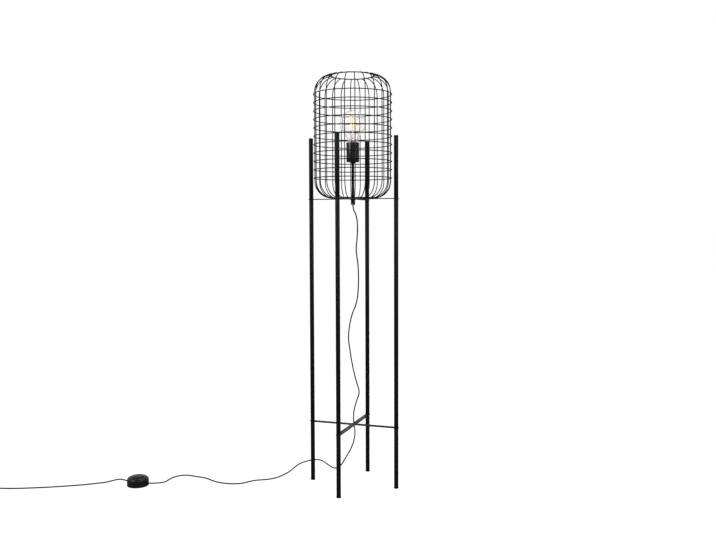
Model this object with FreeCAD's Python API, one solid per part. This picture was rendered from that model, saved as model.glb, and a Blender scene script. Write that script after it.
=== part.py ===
import FreeCAD, Part
import math
import os

# Wire cage floor lamp, in millimetres.
# Four sectional tube legs stand on a circle round the lamp's axis. Flat cross bars tie them
# low down and at the foot of a welded wire cage. A stem on the upper cross carries the
# lampholder and its globe bulb inside the cage. The cord drops from a grip under the upper
# cross to the floor, runs through a foot switch, and ends in a coil and a two-pin plug.
# Origin: on the floor, midway between the legs. +Z is up, +X towards the right leg, and -Y
# towards the front leg.

Vector = FreeCAD.Vector
UP = Vector(0, 0, 1)

# ---------------------------------------------------------------- driving dimensions
# legs
leg_circle_radius = 163.5
leg_diameter = 16.0
leg_wall = 1.5
leg_top_height = 1279.0
leg_cap_thickness = 2.0
leg_cap_depth = 9.0
foot_height = 5.0
foot_diameter = 17.2
foot_edge_bevel = 1.2
foot_plug_depth = 12.0
plug_clearance = 0.1          # round plugs in the leg tubes, all round

# joints between the leg sections
stud_diameter = 8.0
stud_length = 11.0            # above the cross bar
stud_clearance = 0.2          # in a cross bar's eye and in the threaded plug, all round
leg_plug_length = 13.0

# cross bars
bar_width = 16.0
bar_thickness = 3.0
eye_diameter = 20.0
lower_cross_height = 222.5    # underside
upper_cross_height = 1053.0   # underside

# wire cage
cage_wire = 3.0
cage_radius = 138.0           # to the middle of the upright wires
cage_top_height = 1500.0
cage_end_radius = 76.0        # to the middle of the top and bottom rings
cage_end_wire = 4.0
upright_count = 24
shoulder_steps = 3            # flat stretches in each quarter bend of an upright
hoop_count = 11
hoop_pitch = 30.15
lowest_hoop_height = 1129.5

# stem and cord grip
stem_diameter = 10.0
stem_bore = 7.0
stem_clearance = 0.15         # nuts, washers and the holder on the stem, all round
stem_nut_flats = 14.0
stem_nut_thickness = 4.0
washer_diameter = 26.0
washer_thickness = 1.5
grip_diameter = 16.0
grip_length = 18.5
grip_thread_depth = 10.0
grip_edge_bevel = 0.8
grip_screw_diameter = 3.0
grip_screw_recess = 0.5
screw_clearance = 0.05

# lampholder
holder_base_height = 1187.5   # underside of the cover
holder_diameter = 47.0
holder_length = 70.5
holder_wall = 1.2
holder_edge_radius = 3.0
holder_terminal_height = 41.4 # top of the terminal block over the cover's underside
terminal_block_thickness = 12.0
insulator_clearance = 0.3     # between the cover and the insulators
insulator_wall = 3.0
skirt_height = 21.0
liner_bore = 27.4
liner_wall = 0.5
liner_depth = 20.0
contact_length = 12.0
contact_width = 8.0
contact_thickness = 0.8
terminal_screw_diameter = 4.0
terminal_screw_length = 6.0
terminal_spacing = 20.0

# bulb
bulb_cap_diameter = 26.6
bulb_cap_length = 27.0
bulb_cap_wall = 0.6
bulb_seat_gap = 0.3           # bulb contact above the holder's contact
bulb_shell_height = 4.5       # foot of the cap's metal shell above the contact
bulb_contact_diameter = 9.0
bulb_contact_thickness = 1.2
insulator_top_radius = 9.7
collar_height = 3.0
globe_diameter = 95.0
bulb_height = 144.0
neck_diameter = 32.0
neck_flare = 1.5
neck_length = 9.0
glass_wall = 1.2
globe_bands = 6
globe_lowest_angle = -58      # where the globe runs into the neck, degrees from level
filament_count = 6
filament_length = 36.0
filament_width = 2.4
filament_thickness = 1.2
filament_circle_radius = 10.0
bulb_stem_diameter = 9.0
bulb_stem_length = 44.0       # above the cap
spider_wire = 0.8

# cord
cord_diameter = 5.0
cord_sides = 6
coil_sides = 8
arc_share = 0.45              # tangent length of a bend, as a share of its shorter run
cord_bore_clearance = 0.2
lead_run = 22.0               # last straight run before the coil
tail_run = 15.0
tail_sway = 3.0

# foot switch, round, with the cord through its middle along X
switch_x = -754.0
switch_y = -267.0
switch_diameter = 79.0
switch_height = 36.0
switch_parting_height = 12.5
switch_wall = 2.2
switch_base_bevel = 1.5
switch_shoulder_height = 20.0
switch_rim_width = 6.0
button_diameter = 46.0
button_clearance = 0.5
button_travel = 3.0
button_proud = 3.5
button_flange = 2.0
button_flange_thickness = 2.0
button_wall = 2.0
button_roof = 4.0
button_edge = 1.5
plunger_diameter = 8.0
mechanism_size = 16.0
mechanism_height = 14.0
spring_diameter = 12.0
spring_wire = 1.2
spring_turns = 3
spring_steps = 8
switch_screw_count = 3
switch_screw_diameter = 3.0
switch_screw_length = 8.0
switch_screw_recess = 0.4
switch_screw_circle_radius = 30.5
switch_boss_diameter = 6.0
switch_boss_top = 29.0

# put-away coil
coil_outer_radius = 31.5
coil_pitch = 5.5
coil_layer_step = 5.5
coil_reverse_turn = 1.0       # turns wound inwards before the coil winds out again
coil_turns = 2.25
coil_start_heading = 200.6    # degrees, the way the lead runs where it meets the coil
coil_centre_x = -1226.0
coil_centre_y = -505.5
tie_width = 8.0
tie_thickness = 0.9
tie_clearance = 0.1
tie_turn = 0.5

# plug
plug_width = 35.0
plug_thickness = 13.7
plug_length = 36.0
plug_front_width = 26.0
plug_relief_length = 22.0
plug_relief_diameter = 9.0
plug_relief_wall = 0.6
plug_pin_diameter = 4.0
plug_pin_length = 19.0
plug_pin_spacing = 19.0
plug_height = 6.85

# how many flat sides round parts are drawn with
round_sides = 12
large_sides = 24
wire_sides = 4

soft_gap = 0.3                # between pieces that move past each other

# ---------------------------------------------------------------- worked-out sizes
leg_radius = leg_diameter / 2.0
leg_bore_radius = leg_radius - leg_wall
leg_section_top = leg_top_height - leg_cap_thickness
cord_radius = cord_diameter / 2.0
cord_hole_radius = cord_radius + cord_bore_clearance
stem_radius = stem_diameter / 2.0
stem_hole_radius = stem_radius + stem_clearance

cage_half_wire = cage_wire / 2.0
end_half_wire = cage_end_wire / 2.0
cage_bottom_ring_height = upper_cross_height + bar_thickness + end_half_wire
cage_top_ring_height = cage_top_height - end_half_wire
upright_end_radius = cage_end_radius + end_half_wire
shoulder_radius = cage_radius - upright_end_radius
hoop_radius = cage_radius + cage_wire

grip_bottom = upper_cross_height - washer_thickness - grip_length
stem_bottom = grip_bottom + grip_length - grip_thread_depth
holder_top = holder_base_height + holder_length
holder_radius = holder_diameter / 2.0
holder_floor = holder_base_height + holder_wall
insulator_radius = holder_radius - holder_wall - insulator_clearance
insulator_floor_top = holder_base_height + holder_terminal_height
skirt_top = insulator_floor_top + skirt_height
liner_outer_radius = liner_bore / 2.0 + liner_wall
stem_top = holder_floor + stem_nut_thickness
bulb_bottom = insulator_floor_top + contact_thickness + bulb_seat_gap
bulb_shell_foot = bulb_bottom + bulb_shell_height
bulb_contact_radius = bulb_contact_diameter / 2.0
bulb_cap_top = bulb_bottom + bulb_cap_length
bulb_top = bulb_bottom + bulb_height
globe_radius = globe_diameter / 2.0
globe_centre = bulb_top - globe_radius
bulb_cap_radius = bulb_cap_diameter / 2.0
bulb_stem_top = bulb_cap_top + bulb_stem_length

switch_radius = switch_diameter / 2.0
switch_cover_top = switch_height - button_proud
button_radius = button_diameter / 2.0
button_ceiling = switch_height - button_roof
mechanism_top = switch_wall + mechanism_height
switch_inlet_x = switch_x + switch_radius
switch_outlet_x = switch_x - switch_radius
coil_height = tie_thickness + tie_clearance + cord_radius


# ---------------------------------------------------------------- cord routes
# Chosen by hand: each list runs away from the lamp along the cord's middle.
upper_route = [
    (0, 0, grip_bottom), (0, 0, grip_bottom - 15.5), (11, 4, 998), (15, 8, 962),
    (13, 9, 915), (7, 10, 868), (14, 15, 816), (15, 17, 760), (12, 19, 706), (5, 19, 668),
    (-12, 16, 629), (-22, 16, 583), (-26, 16, 540), (-21, 19, 500), (-16, 24, 456),
    (-9, 31, 410), (0, 37, 370), (9, 45, 336), (-3, 43, 304), (-14, 43, 268),
    (-19, 49, 225), (-14, 58, 184), (-21, 65, 144), (-40, 75, 104), (-68, 96, 64),
    (-98, 124, 22), (-126, 148, cord_radius), (-157, 168, cord_radius),
    (-190, 206, cord_radius), (-224, 240, cord_radius), (-252, 240, cord_radius),
    (-274, 212, cord_radius), (-290, 165, cord_radius), (-288, 112, cord_radius),
    (-284, 62, cord_radius), (-289, 15, cord_radius), (-299, -32, cord_radius),
    (-326, -64, cord_radius), (-368, -86, cord_radius), (-390, -133, cord_radius),
    (-428, -153, cord_radius), (-482, -153, cord_radius), (-519, -137, cord_radius),
    (-556, -117, cord_radius), (-603, -114, cord_radius), (-644, -107, cord_radius),
    (-673, -134, cord_radius), (-677, -178, 3), (-668, -214, 6), (-669, -236, 9),
    (-677, -252, 11.5), (-688, -262, switch_parting_height),
    (-701, switch_y, switch_parting_height), (switch_inlet_x, switch_y, switch_parting_height)]
lower_route = [
    (switch_outlet_x, switch_y, switch_parting_height), (-806, switch_y, switch_parting_height),
    (-824, -261, switch_parting_height), (-843, -256, 10.5), (-862, -263, 6.5),
    (-884, -284, cord_radius), (-909, -304, cord_radius), (-933, -326, cord_radius),
    (-985, -360, cord_radius), (-1044, -395, cord_radius), (-1105, -426, cord_radius),
    (-1165, -452, cord_radius)]


# ---------------------------------------------------------------- shared shapes
def cylinder(radius, height, x=0.0, y=0.0, z=0.0, sides=round_sides):
    """An upright round bar in flat sides, its corners on the radius."""
    corners = []
    for side in range(sides + 1):
        angle = math.pi * (2 * side + 1) / sides
        corners.append(Vector(x + radius * math.cos(angle), y + radius * math.sin(angle), z))
    return Part.Face(Part.makePolygon(corners)).extrude(Vector(0, 0, height))


def hole(radius, height, x=0.0, y=0.0, z=0.0, sides=round_sides):
    """What a round hole takes out: its flat sides lie on the radius, so a bar of it fits."""
    return cylinder(radius / math.cos(math.pi / sides), height, x, y, z, sides)


def tube(outer_radius, bore_radius, height, x=0.0, y=0.0, z=0.0):
    return cylinder(outer_radius, height, x, y, z).cut(cylinder(bore_radius, height, x, y, z))


def flat_faces_solid(faces):
    """One solid from corner lists, each the outline of a flat face."""
    made = []
    for corners in faces:
        distinct = []
        for corner in corners:
            if not distinct or corner.distanceToPoint(distinct[-1]) > 1e-7:
                distinct.append(corner)
        if distinct[0].distanceToPoint(distinct[-1]) < 1e-7:
            distinct.pop()
        if len(distinct) > 2:
            made.append(Part.Face(Part.makePolygon(distinct + distinct[:1])))
    solid = Part.makeSolid(Part.makeShell(made))
    if solid.Volume < 0:
        solid.reverse()
    return solid


def faceted(outline, sides, x=0.0, y=0.0):
    """A closed outline of (radius, height) points carried round in flat-sided steps."""
    rows = []
    for side in range(sides):
        angle = math.pi * (2 * side + 1) / sides
        rows.append([Vector(x + radius * math.cos(angle), y + radius * math.sin(angle), height)
                     for radius, height in outline])
    faces = []
    for side in range(sides):
        row, after = rows[side], rows[(side + 1) % sides]
        for corner in range(len(outline)):
            following = (corner + 1) % len(outline)
            faces.append([row[corner], row[following], after[following], after[corner]])
    return flat_faces_solid(faces)


def arc_points(centre_radius, centre_height, radius, first, last, steps):
    """Points on an arc in an outline, angles in degrees from level outwards."""
    points = []
    for step in range(steps + 1):
        angle = math.radians(first + (last - first) * step / steps)
        points.append((centre_radius + radius * math.cos(angle),
                       centre_height + radius * math.sin(angle)))
    return points


def wire_section(across_flats):
    """Corners (outwards, upwards) of a many-sided rod with a flat facing out and one in."""
    corner_radius = across_flats / 2.0 / math.cos(math.pi / wire_sides)
    corners = []
    for side in range(wire_sides):
        angle = math.pi * (2 * side + 1) / wire_sides
        corners.append((corner_radius * math.cos(angle), corner_radius * math.sin(angle)))
    return corners


def hexagon_prism(flats, height, hole_radius, z):
    corner_radius = flats / 2.0 / math.cos(math.pi / 6)
    return cylinder(corner_radius, height, z=z, sides=6).cut(hole(hole_radius, height, z=z))


def at_legs():
    """Each leg's name, place and heading, in degrees from +X."""
    legs = []
    for name, heading in (("right", 0), ("back", 90), ("left", 180), ("front", 270)):
        x = leg_circle_radius * round(math.cos(math.radians(heading)))
        y = leg_circle_radius * round(math.sin(math.radians(heading)))
        legs.append((name, x, y, heading))
    return legs


# ---------------------------------------------------------------- legs
def leg_sections():
    """Lower, middle and upper tube of each leg, clamped against the cross bars."""
    lower_top = lower_cross_height
    middle_foot = lower_cross_height + bar_thickness
    middle_top = upper_cross_height
    upper_foot = upper_cross_height + bar_thickness
    levels = (("lower", foot_height, lower_top), ("middle", middle_foot, middle_top),
              ("upper", upper_foot, leg_section_top))
    sections = {}
    for name, x, y, heading in at_legs():
        for level, low, high in levels:
            node = "leg_%s_%s" % (name, level)
            sections[node] = tube(leg_radius, leg_bore_radius, high - low, x, y, low)
    return sections


def feet():
    plug_radius = leg_bore_radius - plug_clearance
    foot_radius = foot_diameter / 2.0
    outline = [(0, 0), (foot_radius - foot_edge_bevel, 0), (foot_radius, foot_edge_bevel),
               (foot_radius, foot_height), (plug_radius, foot_height),
               (plug_radius, foot_height + foot_plug_depth), (0, foot_height + foot_plug_depth)]
    return [faceted(outline, round_sides, x, y) for name, x, y, heading in at_legs()]


def leg_caps():
    plug_radius = leg_bore_radius - plug_clearance
    plug_foot = leg_section_top - leg_cap_depth
    outline = [(0, plug_foot), (plug_radius, plug_foot), (plug_radius, leg_section_top),
               (leg_radius, leg_section_top), (leg_radius, leg_top_height), (0, leg_top_height)]
    return [faceted(outline, round_sides, x, y) for name, x, y, heading in at_legs()]


def stud_levels():
    """Underside of the cross bars that the leg sections are screwed through."""
    return (lower_cross_height, upper_cross_height)


def joining_studs():
    """Plug fixed in a tube's upper end, with the stud that the next section screws on to."""
    studs = []
    for name, x, y, heading in at_legs():
        for level in stud_levels():
            plug = cylinder(leg_bore_radius - plug_clearance, leg_plug_length, x, y,
                            level - leg_plug_length)
            stud = cylinder(stud_diameter / 2.0, bar_thickness + stud_length, x, y, level, sides=6)
            studs.append(plug.fuse(stud))
    return studs


def leg_nuts():
    """Threaded plug fixed in the lower end of each section that screws on."""
    nuts = []
    for name, x, y, heading in at_legs():
        for level in stud_levels():
            foot = level + bar_thickness
            plug = cylinder(leg_bore_radius - plug_clearance, leg_plug_length, x, y, foot)
            nuts.append(plug.cut(stud_hole(leg_plug_length, x, y, foot)))
    return nuts


def stud_hole(depth, x, y, z):
    return hole(stud_diameter / 2.0 + stud_clearance, depth, x, y, z, sides=6)


# ---------------------------------------------------------------- cross bars
def bar_with_eyes(first, last, height):
    """A flat bar along X from one end to the other, with an eye where an end is at a leg."""
    bar = Part.makeBox(last - first, bar_width, bar_thickness,
                       Vector(first, -bar_width / 2.0, height))
    for end in (first, last):
        if abs(end) == leg_circle_radius:
            bar = bar.fuse(cylinder(eye_diameter / 2.0, bar_thickness, end, z=height, sides=16))
            bar = bar.cut(stud_hole(bar_thickness, end, 0, height))
    return bar.removeSplitter()


def cross_bar(height, centre_hole_radius):
    """The bar that runs right through, from the left leg to the right leg."""
    bar = bar_with_eyes(-leg_circle_radius, leg_circle_radius, height)
    if centre_hole_radius:
        bar = bar.cut(hole(centre_hole_radius, bar_thickness, z=height))
    return bar


def cross_arms(height):
    """The two half bars welded to the sides of the through bar."""
    arms = []
    for heading in (90, 270):
        arm = bar_with_eyes(bar_width / 2.0, leg_circle_radius, height)
        arm.rotate(Vector(0, 0, 0), UP, heading)
        arms.append(arm)
    return arms


# ---------------------------------------------------------------- wire cage
def ring(middle_radius, height, wire):
    """A welded ring in flat stretches, each of which meets one upright squarely."""
    stretches = upright_count
    outline = [((middle_radius + out) / math.cos(math.pi / stretches), height + rise)
               for out, rise in wire_section(wire)]
    made = faceted(outline, stretches)
    made.rotate(Vector(0, 0, 0), UP, 180.0 / stretches)
    return made


def cage_hoops():
    return [ring(hoop_radius, lowest_hoop_height + hoop_pitch * level, cage_wire)
            for level in range(hoop_count)]


def upright_path():
    """(radius, height) points up one upright: ring, quarter bend, straight, bend, ring."""
    low = arc_points(upright_end_radius, cage_bottom_ring_height + shoulder_radius,
                     shoulder_radius, -90, 0, shoulder_steps)
    high = arc_points(upright_end_radius, cage_top_ring_height - shoulder_radius,
                      shoulder_radius, 0, 90, shoulder_steps)
    return low + high


def cage_upright(heading):
    """One wire, mitred at every bend, whose ends are cut square to meet the two rings."""
    path = upright_path()
    section = wire_section(cage_wire)
    runs = [math.atan2(after[1] - before[1], after[0] - before[0])
            for before, after in zip(path, path[1:])]
    # the ends are cut upright, the bends halfway between the runs they join
    cuts = [0.0] + [(run + after) / 2.0 for run, after in zip(runs, runs[1:])] + [math.pi]
    rows = []
    for (radius, height), cut, run in zip(path, cuts, runs[:1] + runs):
        stretch = 1.0 / math.cos(cut - run)
        # outwards from the cage is to the right of the way up
        out_radius, out_height = math.sin(cut) * stretch, -math.cos(cut) * stretch
        rows.append([Vector(radius + out * out_radius, across, height + out * out_height)
                     for out, across in section])
    faces = [rows[0], rows[-1]]
    for row, after in zip(rows, rows[1:]):
        for corner in range(len(section)):
            following = (corner + 1) % len(section)
            faces.append([row[corner], row[following], after[following], after[corner]])
    upright = flat_faces_solid(faces)
    upright.rotate(Vector(0, 0, 0), UP, heading)
    return upright


def cage_uprights():
    """Each wire stands at the middle of a stretch of the hoops, none of them over a cross bar."""
    spacing = 360.0 / upright_count
    return [cage_upright((place + 0.5) * spacing) for place in range(upright_count)]


# ---------------------------------------------------------------- stem and grip
def stem_tube():
    return tube(stem_radius, stem_bore / 2.0, stem_top - stem_bottom, z=stem_bottom)


def stem_nuts():
    """On the upper cross, under the lampholder, and inside it."""
    above_cross = upper_cross_height + bar_thickness + washer_thickness
    feet_of_nuts = (above_cross, holder_base_height - stem_nut_thickness, holder_floor)
    return [hexagon_prism(stem_nut_flats, stem_nut_thickness, stem_hole_radius, foot)
            for foot in feet_of_nuts]


def stem_washers():
    washer = cylinder(washer_diameter / 2.0, washer_thickness, sides=16)
    washer = washer.cut(hole(stem_hole_radius, washer_thickness))
    washers = []
    for foot in (upper_cross_height - washer_thickness, upper_cross_height + bar_thickness):
        placed = washer.copy()
        placed.translate(Vector(0, 0, foot))
        washers.append(placed)
    return washers


def cord_grip():
    """Screwed on the stem's lower end; its side screw pinches the cord."""
    radius = grip_diameter / 2.0
    top = grip_bottom + grip_length
    outline = [(cord_hole_radius, grip_bottom), (radius - grip_edge_bevel, grip_bottom),
               (radius, grip_bottom + grip_edge_bevel), (radius, top), (stem_hole_radius, top),
               (stem_hole_radius, stem_bottom), (cord_hole_radius, stem_bottom)]
    grip = faceted(outline, round_sides)
    return grip.cut(grip_screw_shape(grip_screw_diameter / 2.0 + screw_clearance))


def grip_screw_shape(radius):
    """From just inside the grip's side to the cord."""
    start = cord_radius + screw_clearance
    length = grip_diameter / 2.0 - start - grip_screw_recess
    screw = cylinder(radius, length, sides=8)
    screw.rotate(Vector(0, 0, 0), Vector(1, 0, 0), 90)
    screw.translate(Vector(0, -start, (grip_bottom + stem_bottom) / 2.0))
    return screw


def inner_cord():
    """The cord inside the grip, the stem and the wiring space, up to the terminals."""
    top = insulator_floor_top - terminal_block_thickness
    return cylinder(cord_radius, top - grip_bottom, z=grip_bottom, sides=cord_sides)


# ---------------------------------------------------------------- lampholder
def lampholder_cover():
    edge = holder_edge_radius
    inner = holder_radius - holder_wall
    outline = [(stem_hole_radius, holder_base_height)]
    outline += arc_points(holder_radius - edge, holder_base_height + edge, edge, -90, 0, 3)
    outline += [(holder_radius, holder_top), (inner, holder_top), (inner, holder_floor),
                (stem_hole_radius, holder_floor)]
    return faceted(outline, large_sides)


def lampholder_base():
    """Insulating cup, open downwards over the stem's nut, with the terminal block on top."""
    inner = insulator_radius - insulator_wall
    block_foot = insulator_floor_top - terminal_block_thickness
    outline = [(inner, holder_floor), (insulator_radius, holder_floor),
               (insulator_radius, insulator_floor_top), (0, insulator_floor_top),
               (0, block_foot), (inner, block_foot)]
    base = faceted(outline, large_sides)
    for side in (-1, 1):
        base = base.cut(terminal_screw(side, terminal_screw_diameter / 2.0 + screw_clearance))
    return base


def terminal_screw(side, radius):
    return cylinder(radius, terminal_screw_length, x=side * terminal_spacing / 2.0,
                    z=insulator_floor_top - terminal_screw_length, sides=8)


def terminal_screws():
    return [terminal_screw(side, terminal_screw_diameter / 2.0) for side in (-1, 1)]


def lampholder_skirt():
    """Insulating ring that holds the threaded liner."""
    outline = [(liner_outer_radius, insulator_floor_top), (insulator_radius, insulator_floor_top),
               (insulator_radius, skirt_top), (liner_outer_radius, skirt_top)]
    return faceted(outline, large_sides)


def lampholder_liner():
    foot = skirt_top - liner_depth
    outline = [(liner_bore / 2.0, foot), (liner_outer_radius, foot),
               (liner_outer_radius, skirt_top), (liner_bore / 2.0, skirt_top)]
    return faceted(outline, large_sides)


def lampholder_contact():
    return Part.makeBox(contact_length, contact_width, contact_thickness,
                        Vector(-contact_length / 2.0, -contact_width / 2.0, insulator_floor_top))


# ---------------------------------------------------------------- bulb
def globe_outline(radius, neck_radius, foot):
    """From the crown down the globe and in to the neck, as (radius, height) points."""
    points = arc_points(0, globe_centre, radius, 90, globe_lowest_angle, globe_bands)
    points[0] = (0, points[0][1])
    return points + [(neck_radius + neck_flare, foot + neck_length), (neck_radius, foot)]


def bulb_glass():
    """Hollow envelope: outside from the crown to the neck, then back up the inside."""
    neck = neck_diameter / 2.0
    outside = globe_outline(globe_radius, neck, bulb_cap_top)
    inside = globe_outline(globe_radius - glass_wall, neck - glass_wall, bulb_cap_top)
    return faceted(outside + inside[::-1], large_sides)


def bulb_cap():
    """Screw cap with a flared collar under the glass; the thread is left plain."""
    inner = bulb_cap_radius - bulb_cap_wall
    collar = neck_diameter / 2.0
    flare = bulb_cap_top - collar_height
    outline = [(insulator_top_radius, bulb_shell_foot), (bulb_cap_radius - 1.5, bulb_shell_foot),
               (bulb_cap_radius, bulb_shell_foot + 1.5), (bulb_cap_radius, flare),
               (collar, bulb_cap_top), (collar - glass_wall, bulb_cap_top), (inner, flare),
               (inner, bulb_shell_foot + 1.5)]
    return faceted(outline, 16)


def bulb_insulator():
    """Glass cone between the cap's shell and the contact in its tip."""
    outline = [(0, bulb_bottom + bulb_contact_thickness),
               (bulb_contact_radius, bulb_bottom + bulb_contact_thickness),
               (insulator_top_radius, bulb_shell_foot), (0, bulb_shell_foot)]
    return faceted(outline, 16)


def bulb_contact():
    return cylinder(bulb_contact_radius, bulb_contact_thickness, z=bulb_bottom)


def bulb_stem():
    """Glass stem on the cap's insulator that carries the light strips."""
    radius = bulb_stem_diameter / 2.0
    outline = [(0, bulb_shell_foot), (insulator_top_radius - glass_wall, bulb_shell_foot),
               (radius, bulb_cap_top), (radius / 2.0, bulb_stem_top), (0, bulb_stem_top)]
    return faceted(outline, 8)


def bulb_filaments():
    """Upright light strips in a circle, between the two spiders."""
    strips = []
    for place in range(filament_count):
        strip = Part.makeBox(filament_width, filament_thickness, filament_length,
                             Vector(-filament_width / 2.0, filament_circle_radius,
                                    bulb_stem_top + spider_wire))
        strip.rotate(Vector(0, 0, 0), UP, 360.0 * place / filament_count)
        strips.append(strip)
    return strips


def bulb_wires():
    """Spiders that hold the strips: one on the stem's top and one across the tips."""
    reach = filament_circle_radius + filament_thickness
    spiders = []
    for height in (bulb_stem_top, bulb_stem_top + spider_wire + filament_length):
        spider = cylinder(2 * spider_wire, spider_wire, z=height, sides=6)
        for place in range(filament_count):
            arm = Part.makeBox(spider_wire, reach, spider_wire,
                               Vector(-spider_wire / 2.0, 0, height))
            arm.rotate(Vector(0, 0, 0), UP, 360.0 * place / filament_count)
            spider = spider.fuse(arm)
        spiders.append(spider.removeSplitter())
    return spiders


# ---------------------------------------------------------------- cords
def rounded_edges(route):
    """Straight runs joined by tangent arcs, as edges, with the tightest radius."""
    points = [Vector(*point) for point in route]
    edges = []
    start = points[0]
    tightest = None
    for before, corner, after in zip(points, points[1:], points[2:]):
        incoming = (corner - before).normalize()
        outgoing = (after - corner).normalize()
        shorter = min(corner.distanceToPoint(before), corner.distanceToPoint(after))
        half_turn = incoming.getAngle(outgoing) / 2.0
        tangent = arc_share * shorter
        radius = tangent / math.tan(half_turn)
        tightest = radius if tightest is None else min(tightest, radius)
        arc_start = corner - incoming * tangent
        arc_end = corner + outgoing * tangent
        towards_centre = (outgoing - incoming).normalize()
        centre = corner + towards_centre * (radius / math.cos(half_turn))
        arc_middle = centre - towards_centre * radius
        edges.append(Part.LineSegment(start, arc_start).toShape())
        edges.append(Part.Arc(arc_start, arc_middle, arc_end).toShape())
        start = arc_end
    edges.append(Part.LineSegment(start, points[-1]).toShape())
    return edges, tightest


def many_sided_profile(centre, direction, sides):
    """A cord's section: corners on the cord's round outline, square to its direction."""
    side = direction.cross(UP)
    if side.Length < 1e-6:
        side = Vector(1, 0, 0)
    side.normalize()
    other = direction.cross(side).normalize()
    corners = []
    for place in range(sides + 1):
        angle = 2 * math.pi * (place + 0.5) / sides
        corners.append(centre + side * (cord_radius * math.cos(angle))
                       + other * (cord_radius * math.sin(angle)))
    return Part.makePolygon(corners)


def swept_cord(edges, name, sides=cord_sides):
    path = Part.Wire(edges)
    first = edges[0]
    direction = first.tangentAt(first.FirstParameter)
    profile = many_sided_profile(first.valueAt(first.FirstParameter), direction, sides)
    solid = path.makePipeShell([profile], True, False)
    section = sides / 2.0 * cord_radius ** 2 * math.sin(2 * math.pi / sides)
    print("%s: length %.0f mm, volume %.0f of %.0f mm3" %
          (name, path.Length, solid.Volume, section * path.Length))
    return solid


def free_cord(route, name):
    edges, tightest = rounded_edges(route)
    print("%s: tightest radius %.1f mm" % (name, tightest))
    return swept_cord(edges, name)


# ---------------------------------------------------------------- coil
def coil_start_angle():
    """Where the lead meets the coil, in degrees round it; it winds anticlockwise."""
    return coil_start_heading - 90.0


def coil_radius(turn):
    """It winds inwards on the floor and outwards again in the layer on top."""
    return coil_outer_radius - coil_pitch * (coil_reverse_turn - abs(turn - coil_reverse_turn))


def coil_place(turn):
    """Point on the coil's middle line after a number of turns."""
    climb_start = coil_reverse_turn - 0.25
    climbed = min(max((turn - climb_start) / 0.5, 0.0), 1.0)
    height = coil_height + coil_layer_step * (1 - math.cos(math.pi * climbed)) / 2.0
    angle = math.radians(coil_start_angle() + 360.0 * turn)
    return Vector(coil_centre_x + coil_radius(turn) * math.cos(angle),
                  coil_centre_y + coil_radius(turn) * math.sin(angle), height)


def coil_direction(turn):
    """The way the cord runs there; the ends run level and square to the radius."""
    if turn <= 0 or turn >= coil_turns:
        angle = math.radians(coil_start_heading + 360.0 * turn)
        return Vector(math.cos(angle), math.sin(angle), 0)
    small = 1e-4
    return (coil_place(turn + small) - coil_place(turn - small)).normalize()


def biarc(start, start_way, end, end_way):
    """Two arcs that join smoothly and leave and arrive in the given directions."""
    span = end - start
    ways = start_way + end_way
    quadratic = 2.0 * (start_way.dot(end_way) - 1.0)
    linear = -2.0 * span.dot(ways)
    constant = span.dot(span)
    reach = (-linear - math.sqrt(linear ** 2 - 4 * quadratic * constant)) / (2 * quadratic)
    start_corner = start + start_way * reach
    end_corner = end - end_way * reach
    joint = (start_corner + end_corner) * 0.5
    arcs = []
    for first, corner, last in ((start, start_corner, joint), (joint, end_corner, end)):
        chord_middle = (first + last) * 0.5
        inward = chord_middle - corner
        half_chord = first.distanceToPoint(last) / 2.0
        leg = first.distanceToPoint(corner)
        half_angle = math.acos(min(1.0, half_chord / leg))
        sagitta = half_chord * math.tan(half_angle / 2.0)
        arcs.append(Part.Arc(first, chord_middle - inward.normalize() * sagitta, last).toShape())
    return arcs


def coil_edges():
    """Straight for a cord's diameter at both ends, and quarter turns between them."""
    steps = int(round(coil_turns * 4))
    way_in, way_out = coil_direction(0), coil_direction(coil_turns)
    first, last = coil_place(0), coil_place(coil_turns)
    edges = [Part.LineSegment(first - way_in * cord_diameter, first).toShape()]
    for step in range(steps):
        begin, end = coil_turns * step / steps, coil_turns * (step + 1) / steps
        edges += biarc(coil_place(begin), coil_direction(begin),
                       coil_place(end), coil_direction(end))
    edges.append(Part.LineSegment(last, last + way_out * cord_diameter).toShape())
    return edges


def print_coil_gap():
    """Least gap between one turn of the cord and another."""
    samples = 400
    turns = [coil_turns * place / samples for place in range(samples + 1)]
    places = [coil_place(turn) for turn in turns]
    least = min(places[a].distanceToPoint(places[b]) for a in range(samples + 1)
                for b in range(a + 1, samples + 1) if turns[b] - turns[a] > 0.6)
    print("coil: least gap to itself %.2f mm" % (least - cord_diameter))


def cord_coil():
    print_coil_gap()
    return swept_cord(coil_edges(), "cord_coil", coil_sides)


def lead_to_coil():
    """The lower route and a last straight run in line with the coil's start."""
    way = coil_direction(0)
    end = coil_place(0) - way * cord_diameter
    before = end - way * lead_run
    return lower_route + [(before.x, before.y, before.z), (end.x, end.y, end.z)]


def tail_route():
    """From the coil's end, down and aside by a little, to the plug's strain relief."""
    way = coil_direction(coil_turns)
    start = coil_place(coil_turns) + way * cord_diameter
    aside = way.cross(UP)
    route = []
    for reach, sway, height in ((0, 0, start.z), (tail_run, 0, start.z),
                                (2 * tail_run, tail_sway, plug_height),
                                (3 * tail_run, tail_sway, plug_height)):
        point = start + way * reach + aside * sway
        route.append((point.x, point.y, height))
    return route


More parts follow.
